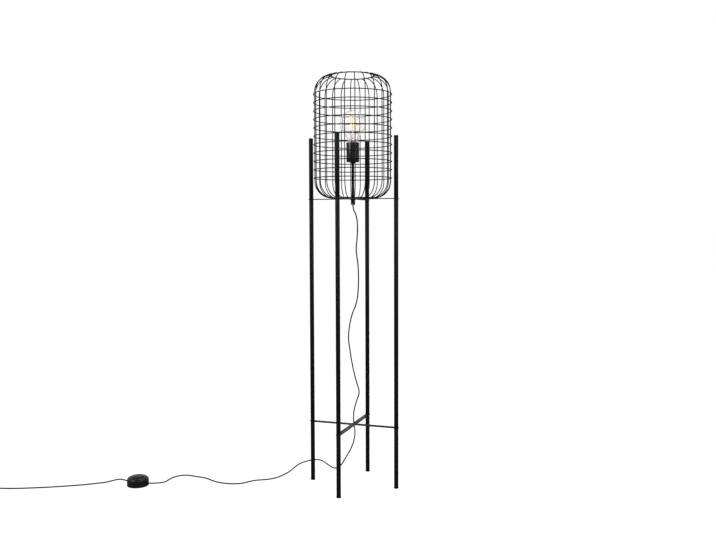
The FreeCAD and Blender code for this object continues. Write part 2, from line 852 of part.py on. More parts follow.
def coil_tie():
    """A flat band round the turns, pressed close, that the coil lies on."""
    radii = [coil_radius(turn) for turn in (tie_turn, tie_turn + 1)]
    slack = tie_clearance + tie_width ** 2 / 8.0 / min(radii)
    inner_low = min(radii) - cord_radius - slack
    inner_high = max(radii) + cord_radius + slack
    top = coil_height + coil_layer_step + cord_radius + tie_clearance
    band = Part.makeBox(inner_high - inner_low + 2 * tie_thickness, tie_width,
                        top + tie_thickness,
                        Vector(inner_low - tie_thickness, -tie_width / 2.0, 0))
    hollow = Part.makeBox(inner_high - inner_low, tie_width, top - tie_thickness,
                          Vector(inner_low, -tie_width / 2.0, tie_thickness))
    band = band.cut(hollow)
    band.rotate(Vector(0, 0, 0), UP, coil_start_angle() + 360.0 * tie_turn)
    band.translate(Vector(coil_centre_x, coil_centre_y, 0))
    return band


# ---------------------------------------------------------------- plug
def at_plug(shape):
    """Places a shape drawn along +X from the tail's end."""
    end = Vector(*tail_route()[-1])
    way = coil_direction(coil_turns)
    shape.rotate(Vector(0, 0, 0), UP, math.degrees(math.atan2(way.y, way.x)))
    shape.translate(end)
    return shape


def plug_body():
    """Flat two-pin plug, narrower where the pins leave, rounded where it is gripped."""
    half, front = plug_width / 2.0, plug_front_width / 2.0
    shoulder = plug_length * 0.35
    corners = [(plug_relief_length, -half * 0.45), (plug_relief_length + shoulder, -half),
               (plug_relief_length + plug_length - 8, -half),
               (plug_relief_length + plug_length, -front), (plug_relief_length + plug_length, front),
               (plug_relief_length + plug_length - 8, half), (plug_relief_length + shoulder, half),
               (plug_relief_length, half * 0.45)]
    points = [Vector(x, y, -plug_thickness / 2.0) for x, y in corners]
    body = Part.Face(Part.makePolygon(points + points[:1])).extrude(Vector(0, 0, plug_thickness))
    body = body.makeChamfer(2.0, [edge for edge in body.Edges
                                  if abs(edge.Vertexes[0].Z - edge.Vertexes[1].Z) < 1e-6])
    return at_plug(body)


def plug_relief():
    """Tapered sleeve on the cord behind the plug."""
    outline = [(0, 0), (cord_radius + plug_relief_wall, 0),
               (plug_relief_diameter / 2.0, plug_relief_length), (0, plug_relief_length)]
    relief = faceted(outline, round_sides)
    relief.rotate(Vector(0, 0, 0), Vector(0, 1, 0), 90)
    return at_plug(relief)


def plug_pins():
    pins = []
    for side in (-1, 1):
        pin = cylinder(plug_pin_diameter / 2.0, plug_pin_length)
        pin.rotate(Vector(0, 0, 0), Vector(0, 1, 0), 90)
        pin.translate(Vector(plug_relief_length + plug_length, side * plug_pin_spacing / 2.0, 0))
        pins.append(at_plug(pin))
    return pins


# ---------------------------------------------------------------- foot switch
def at_switch(shape):
    shape.translate(Vector(switch_x, switch_y, 0))
    return shape


def cord_passage(radius, length, start):
    """A round bar along X at the cord's height in the switch."""
    bar = hole(radius, length, sides=8)
    bar.rotate(Vector(0, 0, 0), Vector(0, 1, 0), 90)
    bar.translate(Vector(start, 0, switch_parting_height))
    return bar


def switch_screw_places():
    places = []
    for place in range(switch_screw_count):
        angle = 2 * math.pi * (place + 0.25) / switch_screw_count
        places.append((switch_screw_circle_radius * math.cos(angle),
                       switch_screw_circle_radius * math.sin(angle)))
    return places


def switch_base():
    inner = switch_radius - switch_wall
    outline = [(0, 0), (switch_radius - switch_base_bevel, 0), (switch_radius, switch_base_bevel),
               (switch_radius, switch_parting_height), (inner, switch_parting_height),
               (inner, switch_wall), (0, switch_wall)]
    base = faceted(outline, large_sides)
    base = base.cut(cord_passage(cord_hole_radius, switch_diameter, -switch_radius))
    for x, y in switch_screw_places():
        base = base.cut(hole(switch_screw_diameter / 2.0 + screw_clearance, switch_wall, x, y,
                             sides=6))
    return at_switch(base)


def switch_cover():
    """Domed cover with a round opening that the button rises through, and screw bosses."""
    inner = switch_radius - switch_wall
    opening = button_radius + button_clearance
    crown_radius = opening + switch_rim_width
    under = switch_cover_top - switch_wall
    rise = switch_cover_top - switch_shoulder_height
    run = switch_radius - crown_radius
    outside = [(switch_radius, switch_parting_height), (switch_radius, switch_shoulder_height)]
    inside = [(inner, switch_parting_height), (inner, switch_shoulder_height)]
    for angle in (40, 90):
        share_in = 1 - math.cos(math.radians(angle))
        share_up = math.sin(math.radians(angle))
        outside.append((switch_radius - run * share_in, switch_shoulder_height + rise * share_up))
        inside.append((inner - run * share_in,
                       switch_shoulder_height + (rise - switch_wall) * share_up))
    outline = outside + [(opening, switch_cover_top), (opening, under)] + inside[::-1]
    cover = faceted(outline, large_sides)
    for x, y in switch_screw_places():
        foot = switch_wall + screw_clearance
        cover = cover.fuse(cylinder(switch_boss_diameter / 2.0, switch_boss_top - foot, x, y, foot,
                                    sides=6))
        cover = cover.cut(hole(switch_screw_diameter / 2.0 + screw_clearance,
                               switch_screw_length, x, y, foot, sides=6))
    cover = cover.cut(cord_passage(cord_hole_radius, switch_diameter, -switch_radius))
    return at_switch(cover.removeSplitter())


def switch_button():
    """Big round push button; its flange stops under the cover, its plunger over the contacts."""
    flange_top = switch_cover_top - switch_wall - soft_gap
    flange_radius = button_radius + button_clearance + button_flange
    flange_foot = flange_top - button_flange_thickness
    inner = button_radius - button_wall
    plunger = plunger_diameter / 2.0
    plunger_foot = mechanism_top + button_travel + soft_gap
    outline = [(0, plunger_foot), (plunger, plunger_foot), (plunger, button_ceiling),
               (inner, button_ceiling), (inner, flange_foot), (flange_radius, flange_foot),
               (flange_radius, flange_top), (button_radius, flange_top),
               (button_radius, switch_height - button_edge), (button_radius - 2 * button_edge,
                                                              switch_height), (0, switch_height)]
    return at_switch(faceted(outline, large_sides))


def switch_mechanism():
    half = mechanism_size / 2.0
    return at_switch(Part.makeBox(mechanism_size, mechanism_size, mechanism_height,
                                  Vector(-half, -half, switch_wall)))


def switch_spring():
    """Open turns round the plunger, from the mechanism to the button's ceiling."""
    half = spring_wire / 2.0
    foot = mechanism_top + half + 0.1
    top = button_ceiling - half - soft_gap
    steps = spring_turns * spring_steps
    rows = []
    for step in range(steps + 1):
        angle = 2 * math.pi * step / spring_steps
        height = foot + (top - foot) * step / steps
        rows.append([Vector((spring_diameter / 2.0 + out) * math.cos(angle),
                            (spring_diameter / 2.0 + out) * math.sin(angle), height + rise)
                     for out, rise in ((half, half), (-half, half), (-half, -half), (half, -half))])
    faces = [rows[0], rows[-1]]
    for row, after in zip(rows, rows[1:]):
        for corner in range(4):
            following = (corner + 1) % 4
            faces.append([row[corner], row[following], after[following]])
            faces.append([row[corner], after[following], after[corner]])
    return at_switch(flat_faces_solid(faces))


def switch_screws():
    return [at_switch(cylinder(switch_screw_diameter / 2.0, switch_screw_length, x, y,
                               switch_screw_recess, sides=6))
            for x, y in switch_screw_places()]


def switch_leads():
    """The cord inside the switch, from each side to the mechanism."""
    half = mechanism_size / 2.0
    length = switch_radius - half
    leads = []
    for start in (-switch_radius, half):
        lead = cylinder(cord_radius, length, sides=cord_sides)
        lead.rotate(Vector(0, 0, 0), Vector(0, 1, 0), 90)
        lead.translate(Vector(start, 0, switch_parting_height))
        leads.append(at_switch(lead))
    return leads


# ---------------------------------------------------------------- the whole lamp
def all_nodes():
    nodes = dict(leg_sections())
    nodes.update({
        "feet": feet(),
        "leg_caps": leg_caps(),
        "joining_studs": joining_studs(),
        "leg_nuts": leg_nuts(),
        "lower_cross_bar": cross_bar(lower_cross_height, 0),
        "lower_cross_arms": cross_arms(lower_cross_height),
        "upper_cross_bar": cross_bar(upper_cross_height, stem_hole_radius),
        "upper_cross_arms": cross_arms(upper_cross_height),
        "cage_uprights": cage_uprights(),
        "cage_hoops": cage_hoops(),
        "cage_top_ring": ring(cage_end_radius, cage_top_ring_height, cage_end_wire),
        "cage_bottom_ring": ring(cage_end_radius, cage_bottom_ring_height, cage_end_wire),
        "stem_tube": stem_tube(),
        "stem_nuts": stem_nuts(),
        "stem_washers": stem_washers(),
        "cord_grip": cord_grip(),
        "cord_grip_screw": grip_screw_shape(grip_screw_diameter / 2.0),
        "inner_cord": inner_cord(),
        "lampholder_cover": lampholder_cover(),
        "lampholder_base": lampholder_base(),
        "lampholder_skirt": lampholder_skirt(),
        "lampholder_liner": lampholder_liner(),
        "lampholder_contact": lampholder_contact(),
        "terminal_screws": terminal_screws(),
        "bulb_glass": bulb_glass(),
        "bulb_cap": bulb_cap(),
        "bulb_insulator": bulb_insulator(),
        "bulb_contact": bulb_contact(),
        "bulb_stem": bulb_stem(),
        "bulb_filaments": bulb_filaments(),
        "bulb_wires": bulb_wires(),
        "switch_base": switch_base(),
        "switch_cover": switch_cover(),
        "switch_button": switch_button(),
        "switch_mechanism": switch_mechanism(),
        "switch_spring": switch_spring(),
        "switch_screws": switch_screws(),
        "switch_leads": switch_leads(),
        "cord_upper": free_cord(upper_route, "cord_upper"),
        "cord_lower": free_cord(lead_to_coil(), "cord_lower"),
        "cord_coil": cord_coil(),
        "coil_tie": coil_tie(),
        "cord_tail": free_cord(tail_route(), "cord_tail"),
        "plug_relief": plug_relief(),
        "plug_body": plug_body(),
        "plug_pins": plug_pins(),
    })
    return nodes


def main():
    os.makedirs("parts", exist_ok=True)
    for name, made in all_nodes().items():
        shape = Part.makeCompound(made) if isinstance(made, list) else made
        shape.exportStep(os.path.join("parts", name + ".step"))


main()
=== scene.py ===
"""Wire cage floor lamp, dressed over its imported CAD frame. All sizes in metres."""
import math

import bmesh
import bpy
from bpy.props import FloatProperty, FloatVectorProperty, IntProperty, PointerProperty
from mathutils import Matrix, Vector


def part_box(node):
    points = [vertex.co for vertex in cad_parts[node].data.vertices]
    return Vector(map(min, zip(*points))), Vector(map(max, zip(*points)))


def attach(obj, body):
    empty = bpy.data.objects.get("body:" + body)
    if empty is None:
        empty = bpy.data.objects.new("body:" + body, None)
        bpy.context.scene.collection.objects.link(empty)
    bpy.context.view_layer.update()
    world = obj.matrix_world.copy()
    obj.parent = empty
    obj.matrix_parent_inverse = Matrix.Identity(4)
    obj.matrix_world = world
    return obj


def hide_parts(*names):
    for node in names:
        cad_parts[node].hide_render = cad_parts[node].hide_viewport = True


bl_info = {
    "name": "Wire Cage Floor Lamp",
    "version": (1, 0, 0),
    "blender": (4, 5, 0),
    "location": "3D View > Sidebar > Cage Lamp",
    "description": "Builds a wire cage floor lamp, its globe bulb, cord, foot switch and plug",
    "category": "Add Mesh",
}

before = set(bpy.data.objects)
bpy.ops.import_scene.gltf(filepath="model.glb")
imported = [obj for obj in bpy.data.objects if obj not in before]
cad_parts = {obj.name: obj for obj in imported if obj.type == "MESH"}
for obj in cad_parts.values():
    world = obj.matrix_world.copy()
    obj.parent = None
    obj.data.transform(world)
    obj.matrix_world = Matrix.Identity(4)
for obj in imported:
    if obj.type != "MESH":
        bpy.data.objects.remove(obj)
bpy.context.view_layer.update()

LEG_NAMES = ("right", "back", "left", "front")
UP = Vector((0, 0, 1))


# ---- settings
def size(description, default):
    """A length that a user may change."""
    return FloatProperty(description=description, default=default, min=0.0, unit="LENGTH",
                         precision=4)


def count(description, default):
    return IntProperty(description=description, default=default, min=3)


def bearing(description, degrees):
    return FloatProperty(description=description, default=math.radians(degrees),
                         subtype="ANGLE")


def colour(description, *tone):
    return FloatVectorProperty(description=description, default=tone, min=0.0, max=1.0, size=3,
                               subtype="COLOR")


class CageLampStand(bpy.types.PropertyGroup):
    leg_circle: size("Radius of the circle that the legs stand on", 0.1635)
    leg_radius: size("Outside radius of the leg tubes", 0.008)
    leg_bore: size("Inside radius of the leg tubes", 0.0065)
    foot_radius: size("Radius of the plastic feet", 0.0086)
    bar_width: size("Width of the flat cross bars", 0.019)
    eye_radius: size("Radius of the eyes at the cross bars' ends", 0.010)
    eye_bore: size("Radius of the stud hole in an eye", 0.0042)
    edge: size("Rounding of cut metal edges", 0.0004)


class CageLampCage(bpy.types.PropertyGroup):
    wire_radius: size("Radius of the upright and hoop wires", 0.0017)
    radius: size("From the axis to the middle of the upright wires", 0.138)
    ring_radius: size("From the axis to the middle of the end rings", 0.076)
    ring_wire: size("Radius of the end rings' wire", 0.002)
    uprights: count("Number of upright wires", 24)


class CageLampHolder(bpy.types.PropertyGroup):
    radius: size("Outside radius of the lampholder's cover", 0.0235)
    wall: size("Thickness of the cover", 0.0012)
    edge: size("Rounding of the cover's lower edge", 0.003)
    stem_radius: size("Outside radius of the threaded stem", 0.005)
    stem_bore: size("Inside radius of the threaded stem", 0.0035)
    stem_pitch: size("Rise of the stem's thread in one turn", 0.001)
    grip_radius: size("Radius of the cord grip", 0.008)


class CageLampBulb(bpy.types.PropertyGroup):
    globe_radius: size("Outside radius of the glass globe", 0.0475)
    neck_radius: size("Radius of the neck at the cap", 0.016)
    glass: size("Thickness of the glass", 0.0012)
    cap_radius: size("Outside radius of the screw cap", 0.0133)
    cap_pitch: size("Rise of the cap's thread in one turn", 0.0036)
    strip_circle: size("Radius of the circle of light strips", 0.0106)
    strips: count("Number of light strips", 6)


class CageLampCord(bpy.types.PropertyGroup):
    radius: size("Radius of the cord", 0.0025)
    switch_radius: size("Radius of the foot switch", 0.0395)
    button_radius: size("Radius of the foot button", 0.023)
    coil_radius: size("Outermost turn of the put-away coil", 0.0315)


class CageLampFinish(bpy.types.PropertyGroup):
    coat: colour("Satin black coat of the legs, bars and cage", 0.0022, 0.0022, 0.0024)
    plastic: colour("Feet, caps, switch and plug", 0.0028, 0.0028, 0.003)
    sheath: colour("Cord", 0.0035, 0.0035, 0.0038)
    insulator: colour("Moulded insulators", 0.62, 0.58, 0.5)
    brass: colour("Contacts and threaded liner", 0.78, 0.57, 0.26)
    nickel: colour("Bulb cap and screws", 0.66, 0.65, 0.63)
    glow: colour("Light strips", 1.0, 0.80, 0.50)


# ---- finishes
def set_inputs(node, values):
    """Sets inputs by their names, where an underscore stands for a space."""
    for name, value in values.items():
        node.inputs[name.replace("_", " ")].default_value = value
    return node


def add_node(tree, kind, **values):
    return set_inputs(tree.nodes.new("ShaderNode" + kind), values)


def toned(tone, share):
    return tuple(min(1.0, channel * share) for channel in tone)


def patterned(name, tone, tint, dull, relief, stretch=(1, 1, 1), **values):
    """A procedural material: tone, roughness and relief each follow noise over the object.

    Each is (noise scale, noise detail, low, high); relief's last two are strength and height.
    The stretch draws the noise out along an axis."""
    material = bpy.data.materials.new(name)
    material.use_nodes = True
    tree = material.node_tree
    shader = set_inputs(tree.nodes["Principled BSDF"], values)
    mapping = add_node(tree, "Mapping", Scale=stretch)
    tree.links.new(add_node(tree, "TexCoord").outputs["Object"], mapping.inputs["Vector"])
    ramp = add_node(tree, "ValToRGB")
    for element, position, share in zip(ramp.color_ramp.elements, (0.3, 0.7), tint[2:]):
        element.position = position
        element.color = (*toned(tone, share), 1)
    spread = add_node(tree, "MapRange", From_Min=0.3, From_Max=0.7, To_Min=dull[2],
                      To_Max=dull[3])
    bump = add_node(tree, "Bump", Strength=relief[2], Distance=relief[3])
    for noted, node, socket, goal in ((tint, ramp, "Fac", "Base Color"),
                                      (dull, spread, "Value", "Roughness"),
                                      (relief, bump, "Height", "Normal")):
        noise = add_node(tree, "TexNoise", Scale=noted[0], Detail=noted[1])
        tree.links.new(mapping.outputs["Vector"], noise.inputs["Vector"])
        tree.links.new(noise.outputs["Fac"], node.inputs[socket])
        tree.links.new(node.outputs[0], shader.inputs[goal])
    return material


def satin_coat(name, tone, rough=0.42, specular=0.18):
    """Powder coat: fine orange peel, faint clouding and small changes of sheen."""
    return patterned(name, tone, (30.0, 3.0, 0.7, 1.5), (30.0, 3.0, rough - 0.05, rough + 0.07),
                     (1400.0, 2.0, 0.25, 0.00012), Specular_IOR_Level=specular)


def moulded_plastic(name, tone, rough=0.35, specular=0.2, peel=900.0):
    """Moulded plastic: a fine spark-worn grain and slightly uneven gloss."""
    return patterned(name, tone, (60.0, 4.0, 0.8, 1.25),
                     (140.0, 4.0, rough - 0.06, rough + 0.08), (peel, 3.0, 0.2, 0.0001),
                     Specular_IOR_Level=specular)


def drawn_metal(name, tone, rough=0.28):
    """Bare metal with faint lines round it, drawn out along the horizontal."""
    return patterned(name, tone, (240.0, 5.0, 0.82, 1.05),
                     (240.0, 5.0, rough - 0.08, rough + 0.1), (240.0, 5.0, 0.15, 0.00005),
                     (1, 1, 14), Metallic=1.0)


def cord_sheath(name, tone):
    """Soft flexible sheath: dull, with fine extrusion streaks and a little dust."""
    return patterned(name, tone, (45.0, 4.0, 0.8, 1.3), (220.0, 4.0, 0.42, 0.56),
                     (1600.0, 2.0, 0.2, 0.0001), Specular_IOR_Level=0.12)


def clear_glass(name, tone):
    """Blown glass: clear, with faint waves in its surface."""
    return patterned(name, tone, (18.0, 1.0, 0.985, 1.0), (18.0, 1.0, 0.0, 0.012),
                     (18.0, 1.0, 0.08, 0.0004), Transmission_Weight=1.0, IOR=1.45)


def glowing_strip(name, tone):
    """Light strip: warm coating that glows a little unevenly along its length."""
    return patterned(name, tone, (700.0, 2.0, 0.85, 1.0), (700.0, 2.0, 0.5, 0.65),
                     (700.0, 2.0, 0.3, 0.0001), (1, 1, 0.5), Emission_Color=(*tone, 1),
                     Emission_Strength=0.7)


finishes = {}


def mix_finishes(tones):
    """Every finish of the lamp, each under the name that the pieces ask for."""
    finishes.update(
        coat=satin_coat("satin_black_coat", tones.coat),
        # The half bars wear the same satin coat with a higher specular level and less roughness: a
        # painted sheen that makes their tops look lighter than the through bars'.
        bar=satin_coat("bar_painted_sheen_coat", tones.coat, 0.36, 0.4),
        wire=satin_coat("cage_wire_coat", tones.coat, 0.45, 0.1),
        holder=satin_coat("holder_gloss_coat", tones.coat, 0.19, 0.42),
        plastic=moulded_plastic("black_plastic", tones.plastic),
        gloss=moulded_plastic("switch_gloss_plastic", tones.plastic, 0.26, 0.3, 1200.0),
        sheath=cord_sheath("cord_sheath", tones.sheath),
        insulator=moulded_plastic("insulator_ceramic", tones.insulator, 0.4, 0.5),
        brass=drawn_metal("brass", tones.brass),
        nickel=drawn_metal("nickel", tones.nickel, 0.22),
        steel=drawn_metal("zinc_steel", toned(tones.nickel, 0.8), 0.34),
        glass=clear_glass("bulb_clear_glass", (0.985, 0.965, 0.96)),
        dark_glass=moulded_plastic("cap_dark_glass", (0.02, 0.016, 0.02), 0.12, 0.5),
        glow=glowing_strip("light_strip", tones.glow),
    )


# ---- mesh tools
def bevelled(bm, geom, offset, segments, affect="EDGES"):
    """Rounds edges, or the corners of an outline before it is spun."""
    bmesh.ops.bevel(bm, geom=geom, offset=offset, offset_type="OFFSET", segments=segments,
                    profile=0.5, affect=affect, clamp_overlap=True, material=-1)
    return bm


def draw_outline(points):
    """Joins (radius, height[, rounding]) points with a closed line in the XZ plane."""
    bm = bmesh.new()
    verts = [bm.verts.new((point[0], 0, point[1])) for point in points]
    for pair in zip(verts, verts[1:] + verts[:1]):
        bm.edges.new(pair)
    for rounding in sorted({point[2] for point in points if len(point) > 2}):
        corners = [vert for vert, point in zip(verts, points)
                   if len(point) > 2 and point[2] == rounding and vert.is_valid]
        bevelled(bm, corners, rounding, 4 if rounding > 0.001 else 2, "VERTICES")
    return bm


def spun(bm, geom, angle, steps, centre=(0, 0, 0), axis=UP, rise=0.0, merge=False,
         duplicate=False):
    """Carries geometry round an axis, and gives what lies at the end of the way."""
    return bmesh.ops.spin(bm, geom=geom, cent=centre, axis=axis, dvec=(0, 0, rise), angle=angle,
                          steps=steps, use_merge=merge, use_duplicate=duplicate)["geom_last"]


def spin_round(bm, steps, geom=None):
    """Spins an outline once round the upright axis and closes the seam and poles."""
    spun(bm, geom or bm.verts[:] + bm.edges[:], 2 * math.pi, steps, merge=True)
    bmesh.ops.remove_doubles(bm, verts=bm.verts, dist=1e-6)
    return bm


def turned(points, steps=32):
    """A turned piece on the upright axis, from its outline."""
    return spin_round(draw_outline(points), steps)


def moved(bm, x=0.0, y=0.0, z=0.0):
    bmesh.ops.translate(bm, verts=bm.verts, vec=(x, y, z))
    return bm


def repeated(bm, copies, radius=0.0):
    """Moves a shape out along X and copies it evenly round the upright axis."""
    moved(bm, x=radius)
    spun(bm, bm.verts[:] + bm.edges[:] + bm.faces[:], 2 * math.pi * (copies - 1) / copies,
         copies - 1, duplicate=True)
    return bm


def circle_of(bm, radius, segments, place):
    """A closed circle of edges, with no face."""
    made = bmesh.ops.create_circle(bm, radius=radius, segments=segments, matrix=place)
    return list({edge for vert in made["verts"] for edge in vert.link_edges})


def circle_loop(bm, radius, height, segments=32):
    return circle_of(bm, radius, segments, Matrix.Translation((0, 0, height)))


def bridged(bm, loops, close=False):
    """Walls from each loop of edges to the next, and back to the first if asked."""
    pairs = list(zip(loops, loops[1:]))
    if close:
        pairs.append((loops[-1], loops[0]))
    for first, second in pairs:
        bmesh.ops.bridge_loops(bm, edges=first + second)
    return bm


def edges_at(bm, height):
    """The open edges that lie at a height."""
    return [edge for edge in bm.edges if edge.is_boundary or edge.is_wire
            if all(abs(vert.co.z - height) < 1e-6 for vert in edge.verts)]


def thread(bm, crests, pitch, low, high, steps=24):
    """A screw thread cut off level at both ends; gives its two end loops.

    crests is the outline of one pitch as (radius, share of the pitch) points."""
    turns = int((high - low) / pitch) + 3
    verts = [bm.verts.new((radius, 0, low - pitch * 1.5 + share * pitch))
             for radius, share in crests]
    edges = [bm.edges.new(pair) for pair in zip(verts, verts[1:])]
    spun(bm, verts + edges, 2 * math.pi * turns, steps * turns, rise=pitch / steps)
    bmesh.ops.remove_doubles(bm, verts=bm.verts, dist=1e-5)
    for height, normal in ((low, (0, 0, -1)), (high, UP)):
        bmesh.ops.bisect_plane(bm, geom=bm.verts[:] + bm.edges[:] + bm.faces[:], dist=1e-7,
                               plane_co=(0, 0, height), plane_no=normal, clear_outer=True)
    return edges_at(bm, low), edges_at(bm, high)


def soft_edges(bm, offset, sharper_than=40.0, segments=2):
    """Rounds every edge that turns more sharply than an angle."""
    limit = math.radians(sharper_than)
    sharp = [edge for edge in bm.edges if edge.is_manifold and edge.calc_face_angle() > limit]
    return bevelled(bm, sharp, offset, segments)


def only(kind, parts):
    return [part for part in parts if isinstance(part, kind)]


def thickened(bm, vec):
    """Draws every face of a flat shape out along a vector."""
    raised = bmesh.ops.extrude_face_region(bm, geom=bm.faces[:])["geom"]
    bmesh.ops.translate(bm, verts=only(bmesh.types.BMVert, raised), vec=vec)
    bmesh.ops.recalc_face_normals(bm, faces=bm.faces)


def carried(bm, edges, vec):
    """Draws edges straight on, and gives the new ones."""
    made = bmesh.ops.extrude_edge_only(bm, edges=edges)["geom"]
    bmesh.ops.translate(bm, verts=only(bmesh.types.BMVert, made), vec=vec)
    return only(bmesh.types.BMEdge, made)


def as_mesh(name, bm):
    mesh = bpy.data.meshes.new(name)
    bm.to_mesh(mesh)
    bm.free()
    return mesh


def as_object(name, data):
    made = bpy.data.objects.new(name, data)
    bpy.context.scene.collection.objects.link(made)
    return made


def add_shape(name, data, finish, nodes, body):
    """Makes a mesh or curve a piece that rides on a body and replaces CAD nodes."""
    data.materials.append(finishes[finish])
    piece = as_object(name, data)
    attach(piece, body)
    if nodes:
        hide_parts(*nodes)
    return piece


def add_piece(name, bm, finish, nodes=(), body="stand", sharp=32.0):
    """Cleans a mesh, shades it smooth up to an angle and makes it a piece of the lamp."""
    bmesh.ops.remove_doubles(bm, verts=bm.verts, dist=1e-6)
    bmesh.ops.recalc_face_normals(bm, faces=bm.faces)
    mesh = as_mesh(name, bm)
    mesh.shade_smooth()
    mesh.set_sharp_from_angle(angle=math.radians(sharp))
    return add_shape(name, mesh, finish, nodes, body)


def joined(*parts):
    """One mesh from several, each taken over whole."""
    whole = bmesh.new()
    for part in parts:
        mesh = as_mesh("joining", part)
        whole.from_mesh(mesh)
        bpy.data.meshes.remove(mesh)
    return whole


def levels(node):
    """A node's lowest and highest heights."""
    low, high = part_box(node)
    return low.z, high.z


# ---- stage
def seen_directly(tree):
    """1 for rays from the camera, and for those that reach it through glass."""
    path, either = add_node(tree, "LightPath"), add_node(tree, "Math")
    either.operation = "MAXIMUM"
    tree.links.new(path.outputs["Is Camera Ray"], either.inputs[0])
    tree.links.new(path.outputs["Is Transmission Ray"], either.inputs[1])
    return either.outputs[0]


def show(tree, out, unseen, seen):
    """Ends a tree in one shader where it is seen directly, and in another elsewhere."""
    choice = add_node(tree, "MixShader")
    tree.links.new(seen_directly(tree), choice.inputs[0])
    tree.links.new(unseen.outputs[0], choice.inputs[1])
    tree.links.new(seen.outputs[0], choice.inputs[2])
    tree.links.new(choice.outputs[0], add_node(tree, out).inputs["Surface"])


def pale_floor():
    """White floor: mostly its own white where it is seen, and the rest takes the shadow."""
    material = bpy.data.materials.new("pale_floor")
    material.use_nodes = True
    tree = material.node_tree
    tree.nodes.clear()
    matt = add_node(tree, "BsdfDiffuse", Color=(0.3, 0.3, 0.3, 1))
    glow = add_node(tree, "Emission", Color=(1, 1, 1, 1), Strength=0.87)
    both = add_node(tree, "AddShader")
    tree.links.new(matt.outputs[0], both.inputs[0])
    tree.links.new(glow.outputs[0], both.inputs[1])
    show(tree, "OutputMaterial", matt, both)
    return material


def white_world(scene, level):
    """A white backdrop where it is seen, and a plainer level of light on the lamp."""
    scene.world = bpy.data.worlds.new("white_studio")
    scene.world.use_nodes = True
    tree = scene.world.node_tree
    tree.nodes.clear()
    fill, seen = [add_node(tree, "Background", Color=(1, 1, 1, 1), Strength=strength)
                  for strength in (level, 1.0)]
    show(tree, "OutputWorld", fill, seen)


def soft_lamp(name, place, aim, width, power):
    light = bpy.data.lights.new(name, "AREA")
    light.shape = "RECTANGLE"
    light.size = width
    light.size_y = width * 1.4
    light.energy = power
    turn = (Vector(aim) - Vector(place)).to_track_quat("-Z", "Y")
    as_object(name, light).matrix_world = Matrix.Translation(place) @ turn.to_matrix().to_4x4()


class CageLampStage(bpy.types.PropertyGroup):
    floor_size: size("Side of the square floor", 30.0)
    lens: FloatProperty(description="Focal length in millimetres", default=41.47)
    heading: bearing("Way that the camera looks, from +Y", 18.882)
    tilt: bearing("How far the camera looks down", 3.319)
    roll: bearing("Turn of the camera about its own axis", -0.178)
    place: FloatVectorProperty(description="Where the camera stands",
                               default=(0.9917, -2.8453, 0.9700), subtype="XYZ", unit="LENGTH")
    fill: FloatProperty(description="World light on the lamp", default=0.55, min=0.0)


def set_camera(scene, stage):
    camera = as_object("camera", bpy.data.cameras.new("camera"))
    camera.data.sensor_fit = "HORIZONTAL"
    camera.data.sensor_width = 36.0
    camera.data.lens = stage.lens
    camera.data.clip_start = 0.05
    camera.data.clip_end = 100.0
    camera.matrix_world = (Matrix.Translation(stage.place)
                           @ Matrix.Rotation(stage.heading, 4, "Z")
                           @ Matrix.Rotation(math.radians(90) - stage.tilt, 4, "X")
                           @ Matrix.Rotation(stage.roll, 4, "Z"))
    scene.camera = camera


def lay_floor(stage):
    bm = bmesh.new()
    bmesh.ops.create_grid(bm, x_segments=4, y_segments=4, size=stage.floor_size / 2)
    mesh = as_mesh("floor", moved(bm, z=-0.0001))
    mesh.materials.append(pale_floor())
    floor = as_object("floor", mesh)


class CAGELAMP_OT_stage(bpy.types.Operator):
    """White floor and world, three soft lamps and the photograph's camera"""
    bl_idname = "cage_lamp.stage"
    bl_label = "Stage"

    def execute(self, context):
        scene = context.scene
        stage = scene.cage_lamp_stage
        scene.view_settings.view_transform = "Standard"
        set_camera(scene, stage)
        lay_floor(stage)
        white_world(scene, stage.fill)
        soft_lamp("key_lamp", (-2.2, -2.6, 2.6), (0, 0, 0.8), 1.2, 46)
        soft_lamp("side_lamp", (2.6, -1.2, 1.8), (0, 0, 0.9), 1.0, 20)
        soft_lamp("top_lamp", (0.2, 0.8, 3.4), (0, 0, 0.6), 1.6, 26)
        return {"FINISHED"}


# ---- stand
class CAGELAMP_OT_finishes(bpy.types.Operator):
    """Mixes every finish, and gives the hidden CAD fittings theirs"""
    bl_idname = "cage_lamp.finishes"
    bl_label = "Finishes"

    def execute(self, context):
        mix_finishes(context.scene.cage_lamp_finish)
        for node, finish in HIDDEN_FITTINGS.items():
            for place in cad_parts[node].material_slots:
                place.material = finishes[finish]
        return {"FINISHED"}


HIDDEN_FITTINGS = {
    "joining_studs": "steel", "leg_nuts": "plastic", "inner_cord": "sheath",
    "lampholder_base": "insulator", "lampholder_contact": "brass", "terminal_screws": "brass",
    "bulb_contact": "nickel", "switch_mechanism": "insulator",
    "switch_spring": "steel", "switch_screws": "steel", "switch_leads": "sheath",
}


def at_leg(stand, bm, heading):
    angle = math.radians(90 * heading)
    return moved(bm, stand.leg_circle * math.cos(angle), stand.leg_circle * math.sin(angle))


class CAGELAMP_OT_legs(bpy.types.Operator):
    """Round leg tubes, each in a lower, a middle and an upper section"""
    bl_idname = "cage_lamp.legs"
    bl_label = "Leg Tubes"

    def execute(self, context):
        stand = context.scene.cage_lamp_stand
        edge = stand.edge
        for heading, side in enumerate(LEG_NAMES):
            for section in ("lower", "middle", "upper"):
                node = f"leg_{side}_{section}"
                low, high = levels(node)
                tube = turned([(stand.leg_bore, low), (stand.leg_radius, low, edge),
                               (stand.leg_radius, high, edge), (stand.leg_bore, high)], 40)
                add_piece(node + "_tube", at_leg(stand, tube, heading), "coat", [node])
        return {"FINISHED"}


